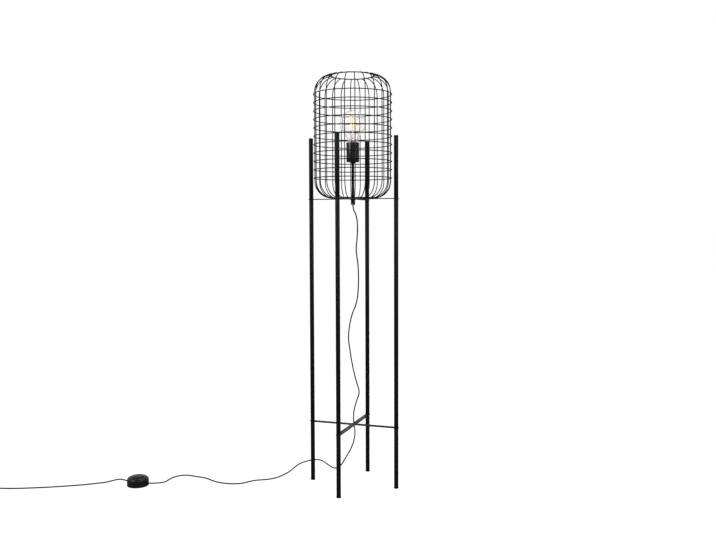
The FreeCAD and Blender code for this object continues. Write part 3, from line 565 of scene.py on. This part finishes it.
class CAGELAMP_OT_leg_ends(bpy.types.Operator):
    """Moulded feet under the legs and flat caps in their tops"""
    bl_idname = "cage_lamp.leg_ends"
    bl_label = "Feet and Caps"

    def execute(self, context):
        stand = context.scene.cage_lamp_stand
        plug = stand.leg_bore - 0.0001
        low, high = levels("feet")
        foot_top = levels("leg_right_lower")[0]
        foot = turned([(0, low), (stand.foot_radius, low, 0.0012),
                       (stand.foot_radius, foot_top, 0.0006), (plug, foot_top),
                       (plug, high, 0.0008), (0, high)], 40)
        add_piece("moulded_feet", repeated(foot, 4, stand.leg_circle), "plastic", ["feet"])
        low, high = levels("leg_caps")
        rim = levels("leg_right_upper")[1]
        cap = turned([(0, low), (plug, low, 0.0008), (plug, rim), (stand.leg_radius, rim),
                      (stand.leg_radius, high, 0.0009), (0, high)], 40)
        add_piece("flat_leg_caps", repeated(cap, 4, stand.leg_circle), "plastic", ["leg_caps"])
        return {"FINISHED"}


def eye_arc(bm, stand, facing):
    """The round end of a cross bar at a leg; gives the first and last corners of its arc."""
    half = stand.bar_width / 2
    back = math.sqrt(stand.eye_radius ** 2 - half ** 2)
    start = bm.verts.new((facing * (stand.leg_circle - back), -half * facing, 0))
    end = spun(bm, [start], 2 * (math.pi - math.atan2(half, back)), 22,
               (facing * stand.leg_circle, 0, 0))
    return start, end[0]


def flat_bar(stand, low, high, inner=None, centre_bore=0.0):
    """A flat bar with an eye at both ends, or one that butts against the through bar."""
    bm = bmesh.new()
    start, end = eye_arc(bm, stand, 1)
    if inner is None:
        far_start, far_end = eye_arc(bm, stand, -1)
        circle_at(bm, -stand.leg_circle, stand.eye_bore)
    else:
        far_start = bm.verts.new((inner, stand.bar_width / 2, 0))
        far_end = bm.verts.new((inner, -stand.bar_width / 2, 0))
        bm.edges.new((far_start, far_end))
    bm.edges.new((end, far_start))
    bm.edges.new((far_end, start))
    circle_at(bm, stand.leg_circle, stand.eye_bore)
    if centre_bore:
        circle_at(bm, 0.0, centre_bore)
    bmesh.ops.triangle_fill(bm, edges=bm.edges[:], use_beauty=True, use_dissolve=False)
    thickened(bm, (0, 0, high - low))
    soft_edges(bm, stand.edge, 60.0)
    return moved(bm, z=low)


def circle_at(bm, x, radius):
    circle_of(bm, radius, 20, Matrix.Translation((x, 0, 0)))


def turned_by(bm, degrees):
    bmesh.ops.rotate(bm, verts=bm.verts, cent=(0, 0, 0),
                     matrix=Matrix.Rotation(math.radians(degrees), 3, "Z"))
    return bm


class CAGELAMP_OT_crosses(bpy.types.Operator):
    """Lower and upper cross of flat bars, with the eyes that the leg sections clamp"""
    bl_idname = "cage_lamp.crosses"
    bl_label = "Cross Bars"

    def execute(self, context):
        stand = context.scene.cage_lamp_stand
        stem_hole = context.scene.cage_lamp_holder.stem_radius + 0.00015
        for level, bore in (("lower", 0.0), ("upper", stem_hole)):
            low, high = levels(f"{level}_cross_bar")
            through = flat_bar(stand, low, high, centre_bore=bore)
            add_piece(f"{level}_through_bar", through, "coat", [f"{level}_cross_bar"])
            arms = [turned_by(flat_bar(stand, low, high, stand.bar_width / 2), degrees)
                    for degrees in (90, 270)]
            # The half bars take the coat's copy with raised specular, a painted sheen on their
            # tops.
            add_piece(f"{level}_half_bars", joined(*arms), "bar", [f"{level}_cross_arms"])
        return {"FINISHED"}


# ---- cage
def wire_circle(bm, radius, x, z, turn_axis, segments=12):
    """A wire's cross section, set upright at a place."""
    place = Matrix.Translation((x, 0, z)) @ Matrix.Rotation(math.radians(90), 4, turn_axis)
    return circle_of(bm, radius, segments, place)


def bent(bm, edges, x, z):
    """Bends the end of a wire through a quarter turn round a centre, in the XZ plane."""
    verts = list({vert for edge in edges for vert in edge.verts})
    return only(bmesh.types.BMEdge,
                spun(bm, verts + edges, math.pi / 2, 9, (x, 0, z), (0, 1, 0)))


def cage_upright(cage, low, high):
    """One wire: out of the top ring, round the shoulder, down, and in to the bottom ring."""
    bm = bmesh.new()
    root = cage.ring_radius + cage.ring_wire
    shoulder = cage.radius - root
    bury = cage.ring_wire * 0.6
    end = wire_circle(bm, cage.wire_radius, root - bury, high, "Y")
    end = carried(bm, end, (bury, 0, 0))
    end = bent(bm, end, root, high - shoulder)
    end = carried(bm, end, (0, 0, low - high + 2 * shoulder))
    end = bent(bm, end, root, low + shoulder)
    carried(bm, end, (-bury, 0, 0))
    bmesh.ops.holes_fill(bm, edges=bm.edges, sides=12)
    return bm


def wire_ring(radius, wire, height, segments):
    bm = bmesh.new()
    profile = wire_circle(bm, wire, radius, height, "X", segments)
    verts = list({vert for edge in profile for vert in edge.verts})
    return spin_round(bm, 96, verts + profile)


def weld_spot(x, z, radius):
    """A small squeezed-out bead where two wires are welded."""
    bm = bmesh.new()
    bmesh.ops.create_icosphere(bm, subdivisions=1, radius=radius)
    bmesh.ops.scale(bm, verts=bm.verts, vec=(0.7, 1, 1))
    return moved(bm, x, 0, z)


class CAGELAMP_OT_cage(bpy.types.Operator):
    """Welded cage: uprights bent in at both ends, hoops round them, and two end rings"""
    bl_idname = "cage_lamp.cage"
    bl_label = "Wire Cage"

    def execute(self, context):
        cage = context.scene.cage_lamp_cage
        bottom = sum(levels("cage_bottom_ring")) / 2
        top = sum(levels("cage_top_ring")) / 2
        half_step = 180 / cage.uprights
        upright = turned_by(cage_upright(cage, bottom, top), half_step)
        add_piece("bent_uprights", repeated(upright, cage.uprights), "wire", ["cage_uprights"])
        lowest, highest = levels("cage_hoops")
        lowest += cage.wire_radius
        highest -= cage.wire_radius
        hoop_radius = cage.radius + 2 * cage.wire_radius - 0.0001
        heights = [lowest + (highest - lowest) * place / 10 for place in range(11)]
        add_piece("round_hoops", joined(*[wire_ring(hoop_radius, cage.wire_radius, height, 8)
                                          for height in heights]), "wire",
                  ["cage_hoops"])
        for name, node, height in (("mouth_ring", "cage_top_ring", top),
                                   ("base_ring", "cage_bottom_ring", bottom)):
            add_piece(name, wire_ring(cage.ring_radius, cage.ring_wire, height, 12), "wire",
                      [node])
        spots = [weld_spot(cage.radius + cage.wire_radius, height, cage.wire_radius * 0.8)
                 for height in heights]
        spots += [weld_spot(cage.ring_radius + cage.ring_wire, height, cage.wire_radius * 1.35)
                  for height in (bottom, top)]
        spots = turned_by(joined(*spots), half_step)
        add_piece("weld_spots", repeated(spots, cage.uprights), "wire")
        return {"FINISHED"}


# ---- stem
def hexagon_nut(flats, bore, low, high):
    """A nut with the rounded-off corners of a turned chamfer on both faces."""
    bm = bmesh.new()
    corner = flats / 2 / math.cos(math.pi / 6)
    chamfer = corner - flats / 2
    return bridged(bm, [circle_loop(bm, flats / 2, low, 24),
                        circle_loop(bm, corner, low + chamfer, 6),
                        circle_loop(bm, corner, high - chamfer, 6),
                        circle_loop(bm, flats / 2, high, 24),
                        circle_loop(bm, bore, high, 24), circle_loop(bm, bore, low, 24)], True)


class CAGELAMP_OT_stem(bpy.types.Operator):
    """Threaded stem through the upper cross, with its nuts and washers"""
    bl_idname = "cage_lamp.stem"
    bl_label = "Threaded Stem"

    def execute(self, context):
        holder = context.scene.cage_lamp_holder
        radius = holder.stem_radius
        low, high = levels("stem_tube")
        stem = bmesh.new()
        root = radius - 0.6 * holder.stem_pitch
        first, last = thread(stem, [(root, 0), (radius, 0.45), (radius, 0.55), (root, 1)],
                             holder.stem_pitch, low, high, 20)
        bridged(stem, [first, circle_loop(stem, holder.stem_bore, low, 24),
                       circle_loop(stem, holder.stem_bore, high, 24), last])
        add_piece("threaded_stem", stem, "coat", ["stem_tube"], sharp=50)
        bore = radius + 0.00015
        cross = levels("upper_cross_bar")
        holder_foot = levels("lampholder_cover")[0]
        nuts_low, nuts_high = levels("stem_nuts")
        thick = 0.004
        feet_of_nuts = (nuts_low, holder_foot - thick, nuts_high - thick)
        add_piece("hexagon_nuts", joined(*[hexagon_nut(0.014, bore, foot, foot + thick)
                                           for foot in feet_of_nuts]), "coat",
                  ["stem_nuts"])
        thin = 0.0015
        washers = [turned([(bore, foot), (0.013, foot, 0.0004), (0.013, foot + thin, 0.0004),
                           (bore, foot + thin)], 40)
                   for foot in (cross[0] - thin, cross[1])]
        add_piece("flat_washers", joined(*washers), "coat", ["stem_washers"])
        return {"FINISHED"}


class CAGELAMP_OT_grip(bpy.types.Operator):
    """Cord grip on the stem's lower end, and the screw that pinches the cord"""
    bl_idname = "cage_lamp.grip"
    bl_label = "Cord Grip"

    def execute(self, context):
        holder = context.scene.cage_lamp_holder
        cord = context.scene.cage_lamp_cord.radius
        low, high = levels("cord_grip")
        stem_low = levels("stem_tube")[0]
        mouth, bore = cord + 0.0002, holder.stem_radius + 0.00015
        grip = turned([(mouth, low, 0.0005), (holder.grip_radius, low, 0.0009),
                       (holder.grip_radius, high, 0.0006), (bore, high), (bore, stem_low),
                       (mouth, stem_low)], 40)
        add_piece("cord_grip_barrel", grip, "plastic", ["cord_grip"])
        screw = turned([(0, 0), (0.0015, 0), (0.0015, 0.0052), (0.0019, 0.0052),
                        (0.0019, 0.0060, 0.0002), (0.0004, 0.0060), (0.0004, 0.0056),
                        (0, 0.0056)], 20)
        bmesh.ops.rotate(screw, verts=screw.verts, cent=(0, 0, 0),
                         matrix=Matrix.Rotation(math.radians(90), 3, "X"))
        moved(screw, y=-cord, z=sum(levels("cord_grip_screw")) / 2)
        add_piece("grip_screw", screw, "steel", ["cord_grip_screw"])
        return {"FINISHED"}


# ---- lampholder
class CAGELAMP_OT_holder(bpy.types.Operator):
    """Lampholder: smooth cover, insulating skirt and the threaded liner in it"""
    bl_idname = "cage_lamp.holder"
    bl_label = "Lampholder"

    def execute(self, context):
        holder = context.scene.cage_lamp_holder
        radius, wall = holder.radius, holder.wall
        low, high = levels("lampholder_cover")
        bore = holder.stem_radius + 0.00015
        cover = turned([(bore, low), (radius, low, holder.edge), (radius, high, 0.0005),
                        (radius - wall, high, 0.0004), (radius - wall, low + wall, 0.0018),
                        (bore, low + wall)], 64)
        add_piece("holder_cover", cover, "holder", ["lampholder_cover"])
        low, high = levels("lampholder_skirt")
        outer = radius - wall - 0.0003
        inner = 0.0142
        skirt = turned([(inner, low), (outer, low), (outer, high - 0.003, 0.0004),
                        (outer - 0.0016, high, 0.0006), (inner, high, 0.0003)], 48)
        add_piece("insulating_skirt", skirt, "insulator", ["lampholder_skirt"])
        low, high = levels("lampholder_liner")
        liner = bmesh.new()
        first, last = thread(liner, [(0.01375, 0), (0.01405, 0.3), (0.01405, 0.7), (0.01375, 1)],
                             0.0036, low, high, 32)
        bridged(liner, [first, circle_loop(liner, inner, low, 32),
                        circle_loop(liner, inner, high, 32), last])
        add_piece("threaded_liner", liner, "brass", ["lampholder_liner"], sharp=50)
        return {"FINISHED"}


# ---- bulb
def globe_wall(bm, crown, centre, radius, neck, foot):
    """One wall of the envelope as an outline from the crown down to the neck's foot."""
    start = bm.verts.new((0, 0, crown))
    last = spun(bm, [start], math.radians(140), 28, (0, 0, centre), (0, 1, 0))[0]
    flare = bm.verts.new((neck + 0.0042, 0, foot + 0.0128))
    throat = bm.verts.new((neck + 0.0008, 0, foot + 0.0060))
    end = bm.verts.new((neck, 0, foot))
    for pair in ((last, flare), (flare, throat), (throat, end)):
        bm.edges.new(pair)
    bevelled(bm, [last, flare, throat], 0.0024, 4, "VERTICES")
    return start, end


def spider_arm(reach, height):
    """A thin wire from the mast in the bulb out to a light strip."""
    bm = bmesh.new()
    place = Matrix.Translation((reach / 2, 0, height)) @ Matrix.Rotation(math.radians(90), 4, "Y")
    bmesh.ops.create_cone(bm, cap_ends=True, segments=6, radius1=0.0004, radius2=0.0004,
                          depth=reach, matrix=place)
    return bm


class CAGELAMP_OT_bulb(bpy.types.Operator):
    """Clear globe bulb: glass, screw cap, glass foot and upright light strips"""
    bl_idname = "cage_lamp.bulb"
    bl_label = "Globe Bulb"

    def execute(self, context):
        bulb = context.scene.cage_lamp_bulb
        self.blow_glass(bulb)
        self.press_cap(bulb)
        self.mount_strips(bulb)
        return {"FINISHED"}

    def blow_glass(self, bulb):
        foot, crown = levels("bulb_glass")
        centre = crown - bulb.globe_radius
        glass = bmesh.new()
        globe_wall(glass, crown, centre, bulb.globe_radius, bulb.neck_radius, foot)
        inside = globe_wall(glass, crown - bulb.glass, centre, bulb.globe_radius - bulb.glass,
                            bulb.neck_radius - bulb.glass, foot)[1]
        outside = min((vert for vert in glass.verts if vert.co.x > bulb.neck_radius - 1e-5),
                      key=lambda vert: vert.co.z)
        glass.edges.new((outside, inside))
        spin_round(glass, 64)
        add_piece("glass_globe", glass, "glass", ["bulb_glass"], "bulb")

    def press_cap(self, bulb):
        shell_foot, top = levels("bulb_cap")
        root = bulb.cap_radius - 0.0009
        low, high = shell_foot + 0.0022, top - 0.0048
        cap = bmesh.new()
        first, last = thread(cap, [(root, 0), (root + 0.0004, 0.2), (bulb.cap_radius, 0.5),
                                   (root + 0.0004, 0.8), (root, 1)], bulb.cap_pitch, low, high, 36)
        inner, neck = root - 0.0005, bulb.neck_radius
        loops = [circle_loop(cap, radius, height, 36) for radius, height in (
            (0.0108, shell_foot), (0.0097, shell_foot), (inner, low), (inner, top - 0.003),
            (neck - bulb.glass, top), (neck, top), (neck - 0.0002, top - 0.0008),
            (bulb.cap_radius, top - 0.003))]
        bridged(cap, [first, *loops, last])
        add_piece("screw_cap", cap, "nickel", ["bulb_cap"], "bulb", 45)
        low, high = levels("bulb_insulator")
        cone = turned([(0, low), (0.0045, low, 0.0004), (0.0097, high), (0, high)], 36)
        add_piece("cap_glass_cone", cone, "dark_glass", ["bulb_insulator"], "bulb")

    def mount_strips(self, bulb):
        low, high = levels("bulb_stem")
        cap_top = levels("bulb_cap")[1]
        foot = turned([(0, low), (0.0085, low), (0.0072, cap_top - 0.004, 0.003),
                       (0.0038, cap_top + 0.006, 0.004), (0.0026, high - 0.004, 0.002),
                       (0.0022, high, 0.001), (0, high)], 28)
        add_piece("glass_foot", foot, "glass", ["bulb_stem"], "bulb")
        low = levels("bulb_filaments")[0]
        high = levels("bulb_glass")[1] - 0.021
        strip = bmesh.new()
        bmesh.ops.create_cube(strip, size=1.0)
        bmesh.ops.scale(strip, verts=strip.verts, vec=(0.0014, 0.0026, high - low))
        soft_edges(strip, 0.00045)
        moved(strip, z=(low + high) / 2)
        strips = turned_by(repeated(strip, bulb.strips, bulb.strip_circle), 90)
        add_piece("glowing_strips", strips, "glow", ["bulb_filaments"], "bulb")
        spiders = [turned_by(repeated(spider_arm(bulb.strip_circle, height), bulb.strips), 90)
                   for height in (low, high)]
        mast = turned([(0, low), (0.0006, low), (0.0006, high), (0, high)], 10)
        add_piece("strip_spiders", joined(mast, *spiders), "nickel", ["bulb_wires"], "bulb")


# ---- foot switch
class CAGELAMP_OT_switch(bpy.types.Operator):
    """Round foot switch: base, domed cover and the big button in it"""
    bl_idname = "cage_lamp.switch"
    bl_label = "Foot Switch"

    def execute(self, context):
        cord = context.scene.cage_lamp_cord
        radius, wall = cord.switch_radius, 0.0022
        low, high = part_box("switch_base")
        centre = (low + high) / 2
        parting = high.z
        base = turned([(0, 0), (radius, 0, 0.0018), (radius, parting - 0.0002, 0.0005),
                       (radius - wall, parting - 0.0002), (radius - wall, wall), (0, wall)], 64)
        add_piece("switch_tray", moved(base, centre.x, centre.y), "gloss", ["switch_base"])
        top = levels("switch_cover")[1]
        opening = cord.button_radius + 0.0005
        cover = turned([(radius - wall, parting), (radius, parting, 0.0004),
                        (radius, top, 0.0115), (opening, top, 0.0012), (opening, top - wall),
                        (radius - wall, top - wall, 0.0095)], 64)
        add_piece("switch_dome", moved(cover, centre.x, centre.y), "gloss", ["switch_cover"])
        low_button, top = levels("switch_button")
        self.press_button(cord.button_radius, levels("switch_cover")[1], low_button, top, centre)
        return {"FINISHED"}

    def press_button(self, radius, cover_top, low, top, centre):
        """The button's groove gives a shoe some hold."""
        flange_top = cover_top - 0.0025
        flange_foot = flange_top - 0.002
        ceiling = top - 0.004
        button = turned([(0, low), (0.004, low), (0.004, ceiling), (radius - 0.002, ceiling),
                         (radius - 0.002, flange_foot), (radius + 0.0025, flange_foot),
                         (radius + 0.0025, flange_top), (radius, flange_top),
                         (radius, top - 0.0002, 0.0022), (0.0165, top, 0.0004),
                         (0.0158, top - 0.0007, 0.0004), (0.0142, top - 0.0007, 0.0004),
                         (0.0135, top, 0.0004), (0, top)], 56)
        add_piece("switch_press", moved(button, centre.x, centre.y), "gloss", ["switch_button"],
                  "foot_button")


# ---- cord
# The route's points in millimetres, running away from the lamp along the cord's middle. Those
# with no height lie on the floor.
UPPER_ROUTE = [
    (0, 0, 1033), (0, 0, 1017.5), (11, 4, 998), (15, 8, 962), (13, 9, 915), (7, 10, 868),
    (14, 15, 816), (15, 17, 760), (12, 19, 706), (5, 19, 668), (-12, 16, 629), (-22, 16, 583),
    (-26, 16, 540), (-21, 19, 500), (-16, 24, 456), (-9, 31, 410), (0, 37, 370), (9, 45, 336),
    (-3, 43, 304), (-14, 43, 268), (-19, 49, 225), (-14, 58, 184), (-21, 65, 144), (-40, 75, 104),
    (-68, 96, 64), (-98, 124, 22), (-126, 148), (-157, 168), (-190, 206), (-224, 240),
    (-252, 240), (-274, 212), (-290, 165), (-288, 112), (-284, 62), (-289, 15), (-299, -32),
    (-326, -64), (-368, -86), (-390, -133), (-428, -153), (-482, -153), (-519, -137),
    (-556, -117), (-603, -114), (-644, -107), (-673, -134), (-677, -178, 3), (-668, -214, 6),
    (-669, -236, 9), (-677, -252, 11.5), (-688, -262, 12.5), (-701, -267, 12.5),
    (-714.5, -267, 12.5)]
LOWER_ROUTE = [
    (-793.5, -267, 12.5), (-806, -267, 12.5), (-824, -261, 12.5), (-843, -256, 10.5),
    (-862, -263, 6.5), (-884, -284), (-909, -304), (-933, -326), (-985, -360), (-1044, -395),
    (-1105, -426), (-1165, -452)]
ON_FLOOR = 2.5
COIL_CENTRE = Vector((-1.2260, -0.5055, 0))
COIL_TURNS = 2.25
COIL_HEADING = 200.6
PLUG_HEIGHT = 0.00685


def coil_point(turn, outer):
    """The coil winds in on the floor and out again in the layer on top."""
    pitch = 0.0055
    radius = outer - pitch * (1.0 - abs(turn - 1.0))
    climbed = min(max((turn - 0.75) / 0.5, 0.0), 1.0)
    height = 0.0035 + pitch * (1 - math.cos(math.pi * climbed)) / 2
    angle = math.radians(COIL_HEADING - 90 + 360 * turn)
    return COIL_CENTRE + Vector((radius * math.cos(angle), radius * math.sin(angle), height))


def coil_way(turn):
    angle = math.radians(COIL_HEADING + 360 * turn)
    return Vector((math.cos(angle), math.sin(angle), 0))


def route(places):
    return [Vector((*place, ON_FLOOR)[:3]) / 1000 for place in places]


def lower_points(outer):
    """Route from the switch, the lead, every turn of the coil and the tail to the plug."""
    points = route(LOWER_ROUTE)
    start, way = coil_point(0, outer), coil_way(0)
    points += [start - way * 0.027, start - way * 0.005]
    steps = int(COIL_TURNS * 16)
    points += [coil_point(COIL_TURNS * step / steps, outer) for step in range(steps + 1)]
    return points + tail_points(outer)


def tail_points(outer):
    end, way = coil_point(COIL_TURNS, outer), coil_way(COIL_TURNS)
    aside = way.cross(UP)
    start = end + way * 0.005
    points = []
    for reach, sway, height in ((0, 0, start.z), (0.015, 0, start.z),
                                (0.030, 0.003, PLUG_HEIGHT), (0.045, 0.003, PLUG_HEIGHT)):
        point = start + way * reach + aside * sway
        points.append(Vector((point.x, point.y, height)))
    return points


def lay_cord(name, points, radius, nodes, resolution):
    """A smooth curve along a route's points, as thick as the cord."""
    line = bpy.data.curves.new(name, "CURVE")
    line.dimensions = "3D"
    line.bevel_depth = radius
    line.bevel_resolution = 3
    line.use_fill_caps = True
    spline = line.splines.new("NURBS")
    spline.points.add(len(points) - 1)
    for point, place in zip(spline.points, points):
        point.co = (*place, 1)
    spline.order_u = 3
    spline.use_endpoint_u = True
    spline.resolution_u = resolution
    return add_shape(name, line, "sheath", nodes, "stand")


class CAGELAMP_OT_cord(bpy.types.Operator):
    """Cord from the lamp to the foot switch, and on through its put-away coil to the plug"""
    bl_idname = "cage_lamp.cord"
    bl_label = "Cord"

    def execute(self, context):
        cord = context.scene.cage_lamp_cord
        upper = route(UPPER_ROUTE)
        lower = lower_points(cord.coil_radius)
        first = lay_cord("cord_to_switch", upper, cord.radius, ["cord_upper"], 8)
        second = lay_cord("cord_to_plug", lower, cord.radius,
                          ["cord_lower", "cord_coil", "cord_tail"], 6)
        return {"FINISHED"}


class CAGELAMP_OT_plug(bpy.types.Operator):
    """Flat two-pin plug with its ribbed strain relief, and the band that ties the coil"""
    bl_idname = "cage_lamp.plug"
    bl_label = "Plug and Tie"

    def execute(self, context):
        cord = context.scene.cage_lamp_cord
        self.end = tail_points(cord.coil_radius)[-1]
        self.way = coil_way(COIL_TURNS)
        self.mould_relief(cord.radius)
        self.mould_body()
        self.turn_pins()
        self.tie_coil()
        return {"FINISHED"}

    def placed(self, bm, lying=True):
        """Turns a shape drawn up from the origin along the plug, and moves it there."""
        if lying:
            bmesh.ops.rotate(bm, verts=bm.verts, cent=(0, 0, 0),
                             matrix=Matrix.Rotation(math.radians(90), 3, "Y"))
        turned_by(bm, math.degrees(math.atan2(self.way.y, self.way.x)))
        return moved(bm, *self.end)

    def mould_relief(self, radius):
        points = [(0, 0), (radius + 0.0006, 0, 0.0004)]
        for rib in range(5):
            along = 0.003 + 0.0036 * rib
            out = radius + 0.0006 + 0.0014 * along / 0.022
            points += [(out, along), (out - 0.0007, along + 0.0003), (out - 0.0007, along + 0.0014),
                       (out + 0.0001, along + 0.0017)]
        points += [(0.0045, 0.022), (0, 0.022)]
        add_piece("ribbed_relief", self.placed(turned(points, 28)), "plastic", ["plug_relief"])

    def mould_body(self):
        half, front, length, start = 0.0175, 0.013, 0.036, 0.022
        side = [(start, half * 0.45), (start + length * 0.35, half),
                (start + length - 0.008, half), (start + length, front)]
        corners = [(x, -y) for x, y in side] + side[::-1]
        body = bmesh.new()
        body.faces.new([body.verts.new((x, y, -PLUG_HEIGHT)) for x, y in corners])
        thickened(body, (0, 0, 2 * PLUG_HEIGHT))
        bevelled(body, [edge for edge in body.edges
                        if abs(edge.verts[0].co.z - edge.verts[1].co.z) > 0.001], 0.004, 5)
        soft_edges(body, 0.0022, 70.0, 4)
        add_piece("moulded_plug", self.placed(body, lying=False), "plastic", ["plug_body"])

    def turn_pins(self):
        root = 0.058
        tip, end = root + 0.010, root + 0.019
        sleeve = [(0, root - 0.002), (0.0019, root - 0.002), (0.0019, tip), (0, tip)]
        prong = [(0, tip), (0.002, tip, 0.0002), (0.002, end, 0.0012), (0, end)]
        sleeves, prongs = [joined(*[self.placed(moved(turned(outline, 20), y=side * 0.0095))
                                    for side in (-1, 1)]) for outline in (sleeve, prong)]
        add_piece("prong_sleeves", sleeves, "plastic")
        add_piece("plug_prongs", prongs, "nickel", ["plug_pins"])

    def tie_coil(self):
        low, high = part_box("coil_tie")
        heading = COIL_HEADING + 90
        angle = math.radians(heading)
        outwards = Vector((math.cos(angle), math.sin(angle), 0))
        along = outwards.dot((low + high) / 2 - COIL_CENTRE)
        reach = abs(outwards.x) * (high.x - low.x) + abs(outwards.y) * (high.y - low.y)
        width, thick = 0.008, 0.0009
        across = (reach - width * 2 * abs(outwards.x * outwards.y)) / 2
        height = high.z - low.z
        band = joined(*[draw_outline([
            (end * (across - inset), level, 0.0026 - inset) for end, level in (
                (-1, inset), (1, inset), (1, height - inset), (-1, height - inset))])
            for inset in (0, thick)])
        carried(band, band.edges[:], (0, width, 0))
        rims = [edge for edge in band.edges if edge.is_boundary]
        for side in (0, width):
            bmesh.ops.bridge_loops(band, edges=[edge for edge in rims if all(
                abs(vert.co.y - side) < 1e-6 for vert in edge.verts)])
        moved(band, along, -width / 2, low.z)
        turned_by(band, heading)
        add_piece("band_tie", moved(band, *COIL_CENTRE), "plastic", ["coil_tie"])


# ---- add-on
class CAGELAMP_PT_panel(bpy.types.Panel):
    """Sizes, colours and pieces of the lamp"""
    bl_label = "Cage Lamp"
    bl_idname = "CAGELAMP_PT_panel"
    bl_space_type = "VIEW_3D"
    bl_region_type = "UI"
    bl_category = "Cage Lamp"

    def draw(self, context):
        for place, group in GROUPS.items():
            box = self.layout.box()
            box.label(text=place.capitalize())
            for name in group.__annotations__:
                box.prop(getattr(context.scene, "cage_lamp_" + place), name,
                         text=name.replace("_", " ").capitalize())
        for operator in OPERATORS:
            self.layout.operator(operator.bl_idname)


GROUPS = {"stand": CageLampStand, "cage": CageLampCage, "holder": CageLampHolder,
          "bulb": CageLampBulb, "cord": CageLampCord, "finish": CageLampFinish,
          "stage": CageLampStage}
OPERATORS = (CAGELAMP_OT_stage, CAGELAMP_OT_finishes, CAGELAMP_OT_legs, CAGELAMP_OT_leg_ends,
             CAGELAMP_OT_crosses, CAGELAMP_OT_cage, CAGELAMP_OT_stem, CAGELAMP_OT_grip,
             CAGELAMP_OT_holder, CAGELAMP_OT_bulb, CAGELAMP_OT_switch, CAGELAMP_OT_plug,
             CAGELAMP_OT_cord)


def register():
    for place, group in GROUPS.items():
        bpy.utils.register_class(group)
        setattr(bpy.types.Scene, "cage_lamp_" + place, PointerProperty(type=group))
    for operator in OPERATORS:
        bpy.utils.register_class(operator)
    bpy.utils.register_class(CAGELAMP_PT_panel)


def unregister():
    bpy.utils.unregister_class(CAGELAMP_PT_panel)
    for operator in reversed(OPERATORS):
        bpy.utils.unregister_class(operator)
    for place, group in GROUPS.items():
        delattr(bpy.types.Scene, "cage_lamp_" + place)
        bpy.utils.unregister_class(group)


def main():
    register()
    bpy.ops.cage_lamp.stage()
    bpy.ops.cage_lamp.finishes()
    bpy.ops.cage_lamp.legs()
    bpy.ops.cage_lamp.leg_ends()
    bpy.ops.cage_lamp.crosses()
    bpy.ops.cage_lamp.cage()
    bpy.ops.cage_lamp.stem()
    bpy.ops.cage_lamp.grip()
    bpy.ops.cage_lamp.holder()
    bpy.ops.cage_lamp.bulb()
    bpy.ops.cage_lamp.switch()
    bpy.ops.cage_lamp.plug()
    bpy.ops.cage_lamp.cord()


if __name__ == "__main__":
    main()
